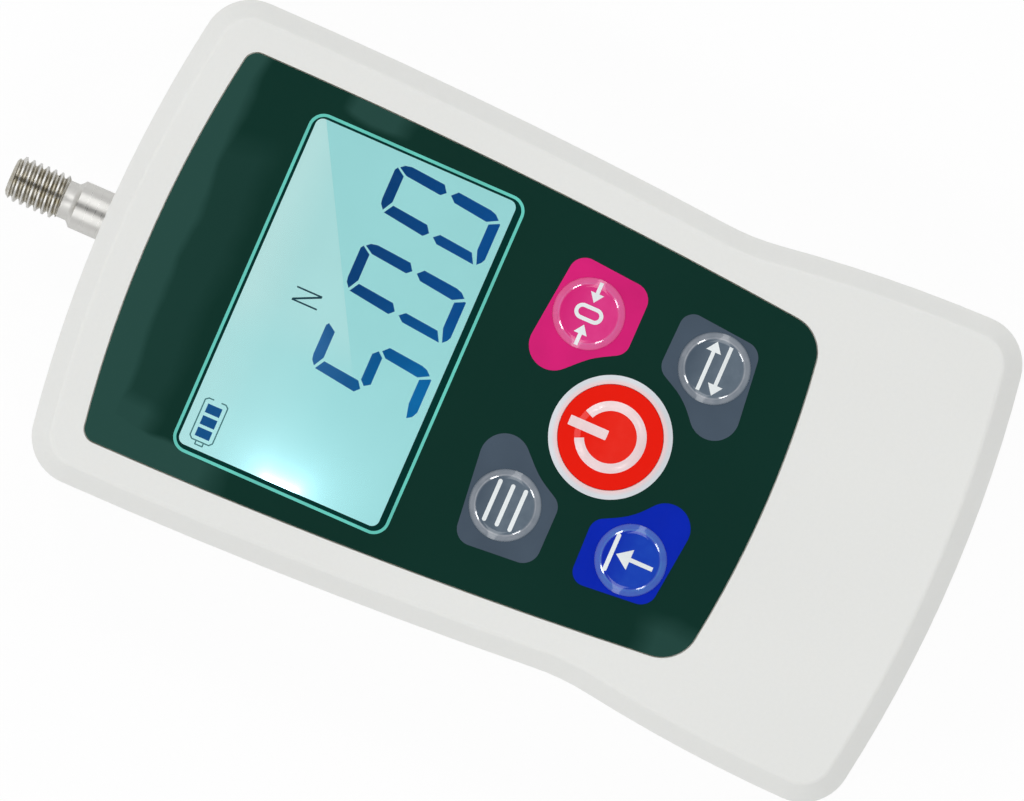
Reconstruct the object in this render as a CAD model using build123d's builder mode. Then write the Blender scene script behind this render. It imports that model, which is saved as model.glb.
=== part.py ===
"""A handheld digital force gauge with its stud, display, keys and everything that the case holds.

Sizes are in millimetres. +Y runs along the sensing stud, +Z comes out of the front face, and the back
lies at Z = 0. The origin is the centre of the four tapped mounting holes in the back.
"""
from build123d import *
from math import copysign, radians, sqrt, tan
import os

os.makedirs("parts", exist_ok=True)

# ---- Clearances ----
RUN_GAP = 0.05  # a moving piece in its guide, on the radius
FIT_GAP = 0.15  # a piece dropped into its seat, on each side
THREAD_GAP = 0.05  # a screw in its hole, on the radius, where no thread is cut

# ---- Case shape ----
WALL = 2.5
ARCH_RADIUS = 175.0  # both ends bow outwards
HEAD_SIDE_RADIUS = 790.0
HEAD_CROWN_DROP = 10.75  # from the top of the case to the widest place of the head
FOOT_SIDE_RADIUS = 208.0
FOOT_CROWN_RISE = 5.95  # from the bottom of the case to the widest place of the foot
CORNER_RADIUS = 6.3
WAIST_RADIUS = 32.0
FRONT_BEVEL = 2.4
BEVEL_SOFTENING = 0.8
BACK_EDGE_ROUND = 2.5
PARTING_CHAMFER = 0.3
TONGUE_THICKNESS = 1.0
TONGUE_HEIGHT = 1.2
TONGUE_SLACK = 0.2

# ---- Display ----
DISPLAY_WIDTH = 44.8
DISPLAY_HEIGHT = 27.5
DISPLAY_CORNER = 1.0
DISPLAY_DROP = 33.5  # from the top of the case to the middle of the display
WINDOW_MARGIN = 0.8  # the opening in the case beyond the lit face
LENS_MARGIN = 2.1  # the clear window beyond the lit face
LENS_THICKNESS = 1.5
LENS_LEDGE = 1.4
GASKET_THICKNESS = 1.0
GLASS_SIDE_BORDER = 2.6
GLASS_END_BORDER = 2.75
GLASS_THICKNESS = 1.1
CONTACT_LEDGE = 2.2  # how far the front glass overhangs the rear glass
STRIP_WIDTH = 1.5
BACKLIGHT_THICKNESS = 2.8
FRAME_WALL = 1.4

# ---- Front overlay ----
OVERLAY_THICKNESS = 0.6
OVERLAY_RECESS = 0.5
OVERLAY_HALF_WIDTH = 26.7
OVERLAY_TOP_DROP = 6.35  # from the top of the case to the top of the overlay
OVERLAY_LENGTH = 84.7
OVERLAY_TOP_RADIUS = 158.0
OVERLAY_BOTTOM_RADIUS = 134.0
OVERLAY_TOP_CORNER = 1.75
OVERLAY_BOTTOM_CORNER = 4.8

# ---- Keys ----
KEY_COLUMN_X = 13.2
UPPER_KEY_DROP = 27.5  # below the middle of the display
POWER_KEY_DROP = 36.25
LOWER_KEY_DROP = 44.8
DOME_RADIUS = 4.6
DOME_TOP_RADIUS = 3.8
DOME_RISE = 0.45
DOME_CROWN = 0.12
POWER_KEY_RADIUS = 6.7
POWER_DOME_RISE = 0.3
KEY_TRAVEL = 0.3
KEY_POCKET_ROOM = 0.3  # free depth under a dome at full travel
KEY_POCKET_GAP = 0.3
STEM_RADIUS = 1.75
STEM_HOLE_GAP = 0.3
STEM_ENGAGEMENT = 1.8  # how far a stem reaches into its switch
SWITCH_WIDTH = 6.0
SWITCH_HEIGHT = 3.5

# ---- Sensing shaft and load cell ----
SHAFT_RADIUS = 3.2
SHAFT_HOLE_GAP = 0.35
SHAFT_OUTSIDE = 4.4  # plain length outside the case
SHAFT_INSIDE = 7.75  # plain length between the end wall and the lock nut
NECK_RADIUS = 2.5
SHOULDER_LENGTH = 0.65
NECK_LENGTH = 1.25
STUD_RADIUS = 3.0  # M6
STUD_LEAD = 0.35
STUD_LENGTH = 6.1
STUD_TIP_RADIUS = 2.35
STUD_TIP_LENGTH = 0.85
SPIGOT_RADIUS = 2.5  # M5 into the load cell
SPIGOT_LENGTH = 7.5
LOCK_NUT_WIDTH = 8.0
LOCK_NUT_THICKNESS = 4.0
CELL_WIDTH = 30.0
CELL_DEPTH = 12.0
CELL_ARM = 8.0
CELL_SLOT = 2.0
CELL_CORE = 14.0
CELL_WEB = 7.0
GAUGE_HOLE_RADIUS = 3.2
GAUGE_HOLE_OFFSET = 3.6
GAUGE_WIDTH = 3.0
GAUGE_THICKNESS = 0.15
BRACKET_WIDTH = 28.0
BRACKET_THICKNESS = 6.0
CELL_BOLT_RADIUS = 3.0  # M6
CELL_BOLT_HEAD_RADIUS = 5.0
CELL_BOLT_HEAD = 6.0
HEX_SOCKET_RADIUS = 2.9
HEX_SOCKET_DEPTH = 3.0
WASHER_RADIUS = 6.0
WASHER_THICKNESS = 1.0
BRACKET_SCREW_X = 9.0
BRACKET_SCREW_RADIUS = 2.0  # M4, countersunk
BRACKET_SCREW_LENGTH = 9.0
COUNTERSINK_RADIUS = 4.0

# ---- Chassis and mounting posts ----
CHASSIS_LIFT = 2.5  # from the rear shell's floor to the chassis plate
CHASSIS_THICKNESS = 3.0
CHASSIS_WIDTH = 50.0
CHASSIS_LENGTH = 84.0
CHASSIS_CORNER = 3.0
CELL_LIFT = 4.0  # from the chassis plate to the load cell
MOUNT_SPACING_X = 40.0
MOUNT_SPACING_Y = 60.0
MOUNT_HOLE_RADIUS = 1.65  # tapping hole of M4
MOUNT_HOLE_DEPTH = 7.0
POST_RADIUS = 4.0
POST_SPIGOT_RADIUS = 3.0
CHASSIS_SCREW_X = 21.0
CHASSIS_SCREW_DROP = 18.5  # from the top of the case to the upper pair
CHASSIS_SCREW_PITCH = 43.7
SMALL_SCREW_RADIUS = 1.5  # M3
SMALL_HEAD_RADIUS = 2.75
SMALL_HEAD = 2.0
CROSS_RECESS_LENGTH = 3.0
CROSS_RECESS_WIDTH = 0.7
CROSS_RECESS_DEPTH = 1.2
CHASSIS_SCREW_LENGTH = 6.0
CHASSIS_BOSS_RADIUS = 3.5

# ---- Case screws ----
CASE_SCREW_INSET = 6.4  # from the side of the head, or of the foot
CASE_SCREW_DISPLAY_GAP = 3.0  # from the display's frame to the column of an upper screw
CASE_SCREW_RISE = 9.05  # from the bottom of the case to the lower pair
CASE_BOSS_RADIUS = 3.4
CASE_SCREW_LENGTH = 20.0
CASE_SCREW_SEAT = 6.0  # how deep the head's seat lies in the back
CASE_SCREW_GRIP_ROOM = 1.5

# ---- Main board ----
BOARD_THICKNESS = 1.6
BOARD_LIFT = 1.0  # from the load cell to the board
BOARD_EDGE_GAP = 1.0
BOARD_SCREW_EDGE = 3.0  # from an upper screw to the top of the board
BOARD_BOSS_RADIUS = 2.6
BOARD_SCREW_RADIUS = 1.0
BOARD_SCREW_HEAD_RADIUS = 1.9
BOARD_SCREW_HEAD = 1.3
BOARD_SCREW_LENGTH = 6.0
BOARD_SCREW_CELL_GAP = 0.6  # from the load cell's side to the head of an upper screw
BOARD_SCREW_DISPLAY_GAP = 1.1  # from the display's frame to the column of an upper screw
BOARD_SCREW_LOW_X = 18.0
BOARD_SCREW_LOW_DROP = 2.6  # below the middle of the free board
BUZZER_RADIUS = 6.0
BUZZER_HEIGHT = 5.5
BUZZER_VENT_RADIUS = 1.2
BUZZER_X = 7.0
BUZZER_RISE = 3.0  # above the middle of the free board
CONTROLLER_WIDTH = 10.0
CONTROLLER_HEIGHT = 1.4
CONTROLLER_X = -8.0
CONTROLLER_RISE = 4.0
AMPLIFIER_WIDTH = 6.2
AMPLIFIER_LENGTH = 8.6
AMPLIFIER_HEIGHT = 1.75
AMPLIFIER_X = 18.0
AMPLIFIER_RISE = 5.0
CHIP_CHAMFER = 0.2
CAPACITOR_RADIUS = 2.5
CAPACITOR_HEIGHT = 5.4
CAPACITOR_PLACES = [(-20.0, 9.0), (-20.0, 3.5)]  # x, and y above the middle of the free board
BLOCK_COMPONENTS = [  # the same, then width, length and height
    (-8.0, -6.0, 11.0, 4.6, 3.4),  # crystal
    (9.0, -8.0, 5.5, 5.5, 3.4),  # inductor
    (1.5, -5.0, 2.0, 1.25, 0.7),  # chip resistors and capacitors
    (1.5, -7.5, 2.0, 1.25, 0.7),
    (14.5, -6.0, 2.0, 1.25, 0.7),
    (14.5, -8.5, 2.0, 1.25, 0.7),
]

# ---- Charge socket ----
SOCKET_WIDTH = 9.0
SOCKET_HEIGHT = 3.2
SOCKET_DEPTH = 7.4
SOCKET_SKIN = 0.35
SOCKET_SETBACK = 0.6  # from the end of the case to the socket's mouth
SOCKET_TONGUE_WIDTH = 6.6
SOCKET_TONGUE_THICKNESS = 0.7
SOCKET_TONGUE_LENGTH = 4.6
SOCKET_OPENING_GAP = 0.5

# ---- Battery ----
CELLS = 4
BATTERY_RADIUS = 5.1
BATTERY_LENGTH = 44.0
BATTERY_PITCH = 10.3
BATTERY_NUB_RADIUS = 1.9
BATTERY_NUB = 0.8
LINK_THICKNESS = 0.2
LINK_HEIGHT = 5.0
TRAY_FLOOR = 1.0
TRAY_WALL = 0.8
TRAY_HEIGHT = 9.0
TRAY_END_GAP = 0.4
TRAY_SIDE_GAP = 0.2
TRAY_CELL_ROOM = 6.15  # from the tray to the head of the load cell's bolt
TRAY_TAIL_ROOM = 3.5  # from the tray to the end wall
TRAY_SIDE_ROOM = 7.4  # from the tray to the side wall of the foot
DISPLAY_SIDE_ROOM = 3.95  # from the display's frame to the side wall of the head
TRAY_RIB_X = 14.0
TRAY_RIB_WIDTH = 2.0
TRAY_RIB_LENGTH = 8.0
PAD_WIDTH = 28.0
PAD_LENGTH = 24.0

# ---- Leads ----
SENSOR_LEAD_RADIUS = 0.8
BATTERY_LEAD_RADIUS = 0.5
WIRE_PITCH = 2.5
LEAD_RUN_IN = 4.0  # the straight end of a lead at its connector
LEAD_START_RISE = 5.0  # from the middle of the load cell to where its lead leaves
LEAD_BEND_DROP = 2.0  # and to where it bends, on the other side of the middle
LEAD_BEND_RISE = 1.0
LEAD_BEND_INSET = 1.0
CONNECTOR_WIDTH = 6.0
CONNECTOR_LENGTH = 5.0
CONNECTOR_HEIGHT = 5.0

# ---- Heights worked out from the back of the case to its face ----
PLATE_Z = WALL + CHASSIS_LIFT
PLATE_TOP = PLATE_Z + CHASSIS_THICKNESS
CELL_Z = PLATE_TOP + CELL_LIFT
SHAFT_Z = CELL_Z + CELL_DEPTH / 2
CELL_TOP_Z = CELL_Z + CELL_DEPTH
BOARD_Z = CELL_TOP_Z + BOARD_LIFT
BOARD_TOP = BOARD_Z + BOARD_THICKNESS
REAR_GLASS_Z = BOARD_TOP + BACKLIGHT_THICKNESS
FRONT_GLASS_Z = REAR_GLASS_Z + GLASS_THICKNESS
GASKET_Z = FRONT_GLASS_Z + GLASS_THICKNESS
LEDGE_Z = GASKET_Z + GASKET_THICKNESS
LENS_Z = LEDGE_Z + LENS_LEDGE
OVERLAY_Z = LENS_Z + LENS_THICKNESS
FACE_Z = OVERLAY_Z + OVERLAY_RECESS
CEILING_Z = FACE_Z - WALL
PARTING_Z = SHAFT_Z

# ---- Widths and lengths worked out from what the case holds ----
GLASS_WIDTH = DISPLAY_WIDTH + 2 * GLASS_SIDE_BORDER
GLASS_HEIGHT = DISPLAY_HEIGHT + 2 * GLASS_END_BORDER
FRAME_WIDTH = GLASS_WIDTH + 2 * (FIT_GAP + FRAME_WALL)
FRAME_HEIGHT = GLASS_HEIGHT + 2 * (FIT_GAP + FRAME_WALL)
OPENING_WIDTH = DISPLAY_WIDTH + 2 * WINDOW_MARGIN
OPENING_HEIGHT = DISPLAY_HEIGHT + 2 * WINDOW_MARGIN
LENS_WIDTH = DISPLAY_WIDTH + 2 * LENS_MARGIN
LENS_HEIGHT = DISPLAY_HEIGHT + 2 * LENS_MARGIN
TRAY_INNER_WIDTH = BATTERY_LENGTH + 2 * TRAY_END_GAP
TRAY_WIDTH = TRAY_INNER_WIDTH + 2 * TRAY_WALL
TRAY_INNER_LENGTH = (CELLS - 1) * BATTERY_PITCH + 2 * (BATTERY_RADIUS + TRAY_SIDE_GAP)
TRAY_LENGTH = TRAY_INNER_LENGTH + 2 * TRAY_WALL
CELL_LENGTH = 2 * (CELL_ARM + CELL_SLOT) + CELL_CORE
HEAD_HALF_WIDTH = FRAME_WIDTH / 2 + DISPLAY_SIDE_ROOM + WALL
FOOT_HALF_WIDTH = TRAY_WIDTH / 2 + TRAY_SIDE_ROOM + WALL
NOSE_LENGTH = WALL + SHAFT_INSIDE + LOCK_NUT_THICKNESS
MIDDLE_LENGTH = CELL_LENGTH + BRACKET_THICKNESS + WASHER_THICKNESS + CELL_BOLT_HEAD
TAIL_LENGTH = TRAY_CELL_ROOM + TRAY_LENGTH + TRAY_TAIL_ROOM + WALL
BODY_LENGTH = NOSE_LENGTH + MIDDLE_LENGTH + TAIL_LENGTH

# ---- Places along the case ----
TOP_Y = BODY_LENGTH / 2
DISPLAY_Y = TOP_Y - DISPLAY_DROP
NUT_Y = TOP_Y - WALL - SHAFT_INSIDE - LOCK_NUT_THICKNESS
CELL_Y = NUT_Y - CELL_LENGTH
BRACKET_Y = CELL_Y - BRACKET_THICKNESS
BOLT_HEAD_Y = BRACKET_Y - WASHER_THICKNESS
TRAY_Y = -TOP_Y + WALL + TRAY_TAIL_ROOM
FIRST_BATTERY_Y = TRAY_Y + TRAY_WALL + TRAY_SIDE_GAP + BATTERY_RADIUS
BATTERY_Z = PLATE_TOP + TRAY_FLOOR + BATTERY_RADIUS
BATTERY_TOP = BATTERY_Z + BATTERY_RADIUS
CHASSIS_Y = NUT_Y - CHASSIS_LENGTH
STUD_Y = TOP_Y + SHAFT_OUTSIDE + SHOULDER_LENGTH + NECK_LENGTH

DOMES = {
    "set": (-KEY_COLUMN_X, DISPLAY_Y - UPPER_KEY_DROP, DOME_RADIUS, DOME_RISE),
    "zero": (KEY_COLUMN_X, DISPLAY_Y - UPPER_KEY_DROP, DOME_RADIUS, DOME_RISE),
    "peak": (-KEY_COLUMN_X, DISPLAY_Y - LOWER_KEY_DROP, DOME_RADIUS, DOME_RISE),
    "unit": (KEY_COLUMN_X, DISPLAY_Y - LOWER_KEY_DROP, DOME_RADIUS, DOME_RISE),
    "power": (0, DISPLAY_Y - POWER_KEY_DROP, POWER_KEY_RADIUS, POWER_DOME_RISE),
}
KEY_CENTRES = [(x, y) for x, y, radius, rise in DOMES.values()]
DISPLAY_FRAME_TOP_Y = DISPLAY_Y + FRAME_HEIGHT / 2
CASE_SCREWS = [
    (side * x, y)
    for x, y in (
        (
            HEAD_HALF_WIDTH - CASE_SCREW_INSET,
            DISPLAY_FRAME_TOP_Y + CASE_SCREW_DISPLAY_GAP + CASE_BOSS_RADIUS,
        ),
        (FOOT_HALF_WIDTH - CASE_SCREW_INSET, -TOP_Y + CASE_SCREW_RISE),
    )
    for side in (-1, 1)
]
MOUNTS = [
    (x, y)
    for x in (-MOUNT_SPACING_X / 2, MOUNT_SPACING_X / 2)
    for y in (-MOUNT_SPACING_Y / 2, MOUNT_SPACING_Y / 2)
]
CHASSIS_SCREW_Y = TOP_Y - CHASSIS_SCREW_DROP
CHASSIS_SCREWS = [
    (x, y)
    for x in (-CHASSIS_SCREW_X, CHASSIS_SCREW_X)
    for y in (CHASSIS_SCREW_Y, CHASSIS_SCREW_Y - CHASSIS_SCREW_PITCH)
]
BRACKET_SCREWS = [(x, BRACKET_Y + BRACKET_THICKNESS / 2) for x in (-BRACKET_SCREW_X, BRACKET_SCREW_X)]
# The middle of the free board, between the lower keys and the end of the case.
FREE_BOARD_Y = (DISPLAY_Y - LOWER_KEY_DROP - SWITCH_WIDTH / 2 - TOP_Y + WALL) / 2
BOARD_SCREW_TOP_X = CELL_WIDTH / 2 + BOARD_SCREW_CELL_GAP + BOARD_SCREW_HEAD_RADIUS
BOARD_SCREW_TOP_Y = DISPLAY_FRAME_TOP_Y + BOARD_SCREW_DISPLAY_GAP + BOARD_BOSS_RADIUS
BOARD_TOP_Y = BOARD_SCREW_TOP_Y + BOARD_SCREW_EDGE
BOARD_SCREWS = [
    (side * x, y)
    for x, y in (
        (BOARD_SCREW_TOP_X, BOARD_SCREW_TOP_Y),
        (BOARD_SCREW_LOW_X, FREE_BOARD_Y - BOARD_SCREW_LOW_DROP),
    )
    for side in (-1, 1)
]


# ---- Outlines ----
def drop(radius, reach):
    """How far an arc of this radius falls back at this distance from its crown."""
    return radius - sqrt(radius**2 - reach**2)


def side_x(side, y):
    """Half the width that a side arc, given as its half width, crown and radius, leaves at y."""
    half_width, crown_y, radius = side
    return half_width - drop(radius, y - crown_y)


def meet_arch(side, tip_y, arch_radius, middle_y):
    """The point where a side arc meets the arch at one end, found by going back and forth."""
    y = tip_y
    for _ in range(40):
        y = tip_y - copysign(drop(arch_radius, side_x(side, y)), tip_y - middle_y)
    return side_x(side, y), y


def meet_sides(upper, lower):
    """The point where two side arcs cross at the waist, found by halving."""
    low, high = lower[1], upper[1]
    for _ in range(50):
        middle = (low + high) / 2
        if side_x(upper, middle) < side_x(lower, middle):
            low = middle
        else:
            high = middle
    return side_x(upper, low), low


def arched_outline(shape, height, inset=0.0):
    """A flat shape with bowed ends and sides at a height, shrunk by an inset or grown by its negative."""
    sides = [
        (half_width - inset, crown_y, radius - inset) for half_width, crown_y, radius in shape["sides"]
    ]
    middle_y = shape["middle_y"]
    ends = [
        (tip_y - inset * copysign(1, tip_y - middle_y), radius - inset)
        for tip_y, radius in shape["ends"]
    ]
    waist = [meet_sides(upper, lower) for upper, lower in zip(sides, sides[1:])]
    corners = [meet_arch(side, *end, middle_y) for side, end in zip((sides[0], sides[-1]), ends)]
    points = [corners[0], *waist, corners[1]]
    with BuildSketch(Plane.XY.offset(height)) as outline:
        with BuildLine():
            for hand in (-1, 1):
                for side, (x0, y0), (x1, y1) in zip(sides, points, points[1:]):
                    between = (y0 + y1) / 2
                    bulge = (hand * side_x(side, between), between)
                    ThreePointArc((hand * x0, y0), bulge, (hand * x1, y1))
            for (x, y), (tip_y, radius) in zip(corners, ends):
                ThreePointArc((-x, y), (0, tip_y), (x, y))
        make_face()
        for (x, y), radius in zip(points, shape["rounds"]):
            shrunk = radius + inset if (x, y) in waist else radius - inset
            pair = outline.vertices().filter_by(lambda v: abs(v.Y - y) + abs(abs(v.X) - x) < FIT_GAP)
            fillet(pair, shrunk)
    return outline.sketch


CASE_SHAPE = {
    "sides": [
        (HEAD_HALF_WIDTH, TOP_Y - HEAD_CROWN_DROP, HEAD_SIDE_RADIUS),
        (FOOT_HALF_WIDTH, -TOP_Y + FOOT_CROWN_RISE, FOOT_SIDE_RADIUS),
    ],
    "ends": [(TOP_Y, ARCH_RADIUS), (-TOP_Y, ARCH_RADIUS)],
    "middle_y": 0,
    "rounds": [CORNER_RADIUS, WAIST_RADIUS, CORNER_RADIUS],
}
OVERLAY_TOP_Y = TOP_Y - OVERLAY_TOP_DROP
OVERLAY_SHAPE = {
    "sides": [(OVERLAY_HALF_WIDTH, TOP_Y - HEAD_CROWN_DROP, HEAD_SIDE_RADIUS)],
    "ends": [(OVERLAY_TOP_Y, OVERLAY_TOP_RADIUS), (OVERLAY_TOP_Y - OVERLAY_LENGTH, OVERLAY_BOTTOM_RADIUS)],
    "middle_y": OVERLAY_TOP_Y - OVERLAY_LENGTH / 2,
    "rounds": [OVERLAY_TOP_CORNER, OVERLAY_BOTTOM_CORNER],
}


def discs(points, radius, height):
    """Round profiles at these places and this height."""
    with BuildSketch(Plane.XY.offset(height)) as sketch:
        with Locations(*points):
            Circle(radius)
    return sketch.sketch


def panel(width, length, height, centre=(0, 0), corner=0.0):
    """A rectangle, with round corners if it has any, at this height."""
    with BuildSketch(Plane.XY.offset(height)) as sketch:
        with Locations(centre):
            if corner:
                RectangleRounded(width, length, corner)
            else:
                Rectangle(width, length)
    return sketch.sketch


def along_shaft(radius, y, points=((0, 0),)):
    """Round profiles square to the shaft at y, with points as (x, height above the shaft)."""
    with BuildSketch(Plane((0, y, SHAFT_Z), x_dir=(1, 0, 0), z_dir=(0, 1, 0))) as sketch:
        with Locations(*[(x, -z) for x, z in points]):
            Circle(radius)
    return sketch.sketch


DISPLAY_CENTRE = (0, DISPLAY_Y)

# ---- Case ----
with BuildPart() as rear_shell:
    extrude(arched_outline(CASE_SHAPE, 0), amount=PARTING_Z)
    fillet(rear_shell.faces().sort_by(Axis.Z)[0].edges(), BACK_EDGE_ROUND)
    chamfer(rear_shell.faces().sort_by(Axis.Z)[-1].edges(), PARTING_CHAMFER)
    extrude(arched_outline(CASE_SHAPE, PARTING_Z, WALL - TONGUE_THICKNESS), amount=TONGUE_HEIGHT)
    extrude(
        arched_outline(CASE_SHAPE, WALL, WALL), amount=PARTING_Z + TONGUE_HEIGHT - WALL, mode=Mode.SUBTRACT
    )
    # Columns for the case screws, the chassis and the end of the battery tray.
    extrude(discs(CASE_SCREWS, CASE_BOSS_RADIUS, WALL), amount=PARTING_Z - WALL)
    extrude(discs(CHASSIS_SCREWS, CHASSIS_BOSS_RADIUS, WALL), amount=CHASSIS_LIFT)
    for hand in (-1, 1):
        extrude(
            panel(TRAY_RIB_WIDTH, TRAY_RIB_LENGTH, WALL, (hand * TRAY_RIB_X, TRAY_Y + TRAY_RIB_LENGTH / 2)),
            amount=PLATE_TOP - WALL,
        )
    # Holes.
    extrude(discs(CASE_SCREWS, SMALL_SCREW_RADIUS + FIT_GAP, 0), amount=PARTING_Z, mode=Mode.SUBTRACT)
    extrude(discs(CASE_SCREWS, SMALL_HEAD_RADIUS + FIT_GAP, 0), amount=CASE_SCREW_SEAT, mode=Mode.SUBTRACT)
    extrude(discs(MOUNTS, POST_RADIUS + FIT_GAP, 0), amount=WALL, mode=Mode.SUBTRACT)
    extrude(
        discs(CHASSIS_SCREWS, SMALL_SCREW_RADIUS + THREAD_GAP, PLATE_TOP - CHASSIS_SCREW_LENGTH - FIT_GAP),
        amount=CHASSIS_SCREW_LENGTH,
        mode=Mode.SUBTRACT,
    )
    extrude(
        along_shaft(SHAFT_RADIUS + SHAFT_HOLE_GAP, TOP_Y - 2 * WALL), amount=3 * WALL, mode=Mode.SUBTRACT
    )

with BuildPart() as front_shell:
    extrude(arched_outline(CASE_SHAPE, PARTING_Z), amount=FACE_Z - PARTING_Z)
    chamfer(front_shell.faces().sort_by(Axis.Z)[-1].edges(), FRONT_BEVEL)
    fillet(front_shell.faces().sort_by(Axis.Z)[-1].edges(), BEVEL_SOFTENING)
    chamfer(front_shell.faces().sort_by(Axis.Z)[0].edges(), PARTING_CHAMFER)
    extrude(arched_outline(CASE_SHAPE, PARTING_Z, WALL), amount=CEILING_Z - PARTING_Z, mode=Mode.SUBTRACT)
    extrude(
        arched_outline(CASE_SHAPE, PARTING_Z, WALL - TONGUE_THICKNESS - FIT_GAP),
        amount=TONGUE_HEIGHT + TONGUE_SLACK,
        mode=Mode.SUBTRACT,
    )
    # Columns for the case screws and the board, and the thicker rim round the display.
    extrude(discs(CASE_SCREWS, CASE_BOSS_RADIUS, PARTING_Z), amount=CEILING_Z - PARTING_Z)
    extrude(discs(BOARD_SCREWS, BOARD_BOSS_RADIUS, BOARD_TOP), amount=CEILING_Z - BOARD_TOP)
    extrude(panel(FRAME_WIDTH, FRAME_HEIGHT, LEDGE_Z, DISPLAY_CENTRE, FRAME_WALL), amount=CEILING_Z - LEDGE_Z)
    # The face: the overlay's recess, the window's pocket and opening, and the keys' pockets.
    extrude(arched_outline(OVERLAY_SHAPE, OVERLAY_Z, -FIT_GAP), amount=OVERLAY_RECESS, mode=Mode.SUBTRACT)
    extrude(
        panel(
            LENS_WIDTH + 2 * FIT_GAP,
            LENS_HEIGHT + 2 * FIT_GAP,
            LENS_Z,
            DISPLAY_CENTRE,
            DISPLAY_CORNER + WINDOW_MARGIN,
        ),
        amount=LENS_THICKNESS,
        mode=Mode.SUBTRACT,
    )
    extrude(
        panel(OPENING_WIDTH, OPENING_HEIGHT, LEDGE_Z, DISPLAY_CENTRE, DISPLAY_CORNER),
        amount=LENS_LEDGE,
        mode=Mode.SUBTRACT,
    )
    for x, y, radius, rise in DOMES.values():
        extrude(
            discs([(x, y)], radius + KEY_POCKET_GAP, OVERLAY_Z - KEY_TRAVEL - KEY_POCKET_ROOM),
            amount=KEY_TRAVEL + KEY_POCKET_ROOM,
            mode=Mode.SUBTRACT,
        )
    extrude(
        discs(KEY_CENTRES, STEM_RADIUS + STEM_HOLE_GAP, LEDGE_Z),
        amount=OVERLAY_Z - LEDGE_Z,
        mode=Mode.SUBTRACT,
    )
    # Screw holes, the shaft's hole and the opening for the charge socket.
    extrude(
        discs(CASE_SCREWS, SMALL_SCREW_RADIUS + THREAD_GAP, PARTING_Z),
        amount=CASE_SCREW_SEAT + CASE_SCREW_LENGTH - PARTING_Z + CASE_SCREW_GRIP_ROOM,
        mode=Mode.SUBTRACT,
    )
    extrude(
        discs(BOARD_SCREWS, BOARD_SCREW_RADIUS + THREAD_GAP, BOARD_TOP),
        amount=BOARD_SCREW_LENGTH - BOARD_THICKNESS + FIT_GAP,
        mode=Mode.SUBTRACT,
    )
    extrude(
        along_shaft(SHAFT_RADIUS + SHAFT_HOLE_GAP, TOP_Y - 2 * WALL), amount=3 * WALL, mode=Mode.SUBTRACT
    )
    with BuildSketch(
        Plane((0, -TOP_Y - WALL, BOARD_TOP + SOCKET_HEIGHT / 2), x_dir=(1, 0, 0), z_dir=(0, -1, 0))
    ):
        RectangleRounded(
            SOCKET_WIDTH + 2 * SOCKET_OPENING_GAP,
            SOCKET_HEIGHT + 2 * SOCKET_OPENING_GAP,
            SOCKET_HEIGHT / 2,
        )
    extrude(amount=-3 * WALL, mode=Mode.SUBTRACT)

with BuildPart() as case_screws:
    extrude(discs(CASE_SCREWS, SMALL_HEAD_RADIUS, CASE_SCREW_SEAT - SMALL_HEAD), amount=SMALL_HEAD)
    extrude(discs(CASE_SCREWS, SMALL_SCREW_RADIUS, CASE_SCREW_SEAT), amount=CASE_SCREW_LENGTH)
    # The cross recess.
    with BuildSketch(Plane.XY.offset(CASE_SCREW_SEAT - SMALL_HEAD)):
        with Locations(*CASE_SCREWS):
            Rectangle(CROSS_RECESS_LENGTH, CROSS_RECESS_WIDTH)
            Rectangle(CROSS_RECESS_WIDTH, CROSS_RECESS_LENGTH)
    extrude(amount=CROSS_RECESS_DEPTH, mode=Mode.SUBTRACT)

# ---- Front overlay, window and keys ----
with BuildPart() as front_overlay:
    extrude(arched_outline(OVERLAY_SHAPE, OVERLAY_Z), amount=OVERLAY_THICKNESS)
    extrude(
        panel(DISPLAY_WIDTH, DISPLAY_HEIGHT, OVERLAY_Z, DISPLAY_CENTRE, DISPLAY_CORNER),
        amount=OVERLAY_THICKNESS,
        mode=Mode.SUBTRACT,
    )
    for x, y, radius, rise in DOMES.values():
        opening = discs([(x, y)], radius + RUN_GAP, OVERLAY_Z)
        extrude(opening, amount=OVERLAY_THICKNESS, mode=Mode.SUBTRACT)

with BuildPart() as display_window:
    extrude(
        panel(LENS_WIDTH, LENS_HEIGHT, LENS_Z, DISPLAY_CENTRE, DISPLAY_CORNER + WINDOW_MARGIN),
        amount=LENS_THICKNESS,
    )

DOME_Z = OVERLAY_Z
OVERLAY_TOP_Z = OVERLAY_Z + OVERLAY_THICKNESS
domes = {}
for name, (x, y, radius, rise) in DOMES.items():
    with BuildPart() as dome:
        with BuildSketch(Plane((x, y, 0), x_dir=(1, 0, 0), z_dir=(0, -1, 0))):
            with BuildLine():
                rim = [(radius, DOME_Z), (radius, OVERLAY_TOP_Z)]
                if radius > DOME_RADIUS:
                    rim.append((DOME_RADIUS, OVERLAY_TOP_Z))
                base = Polyline((0, DOME_Z), *rim)
                slope = Line(base @ 1, (DOME_TOP_RADIUS, OVERLAY_TOP_Z + rise))
                crown = Bezier(
                    slope @ 1,
                    (DOME_TOP_RADIUS / 2, OVERLAY_TOP_Z + rise + DOME_CROWN),
                    (0, OVERLAY_TOP_Z + rise + DOME_CROWN),
                )
                Line(crown @ 1, base @ 0)
            make_face()
        revolve(axis=Axis((x, y, 0), (0, 0, 1)))
    domes[f"{name}_dome"] = dome

STEM_Z = BOARD_TOP + SWITCH_HEIGHT - STEM_ENGAGEMENT
stems = {}
for name, centre in zip(DOMES, KEY_CENTRES):
    with BuildPart() as stem:
        extrude(discs([centre], STEM_RADIUS, STEM_Z), amount=DOME_Z - STEM_Z)
        chamfer(stem.faces().sort_by(Axis.Z)[0].edges(), FIT_GAP)
    stems[f"{name}_stem"] = stem

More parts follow.
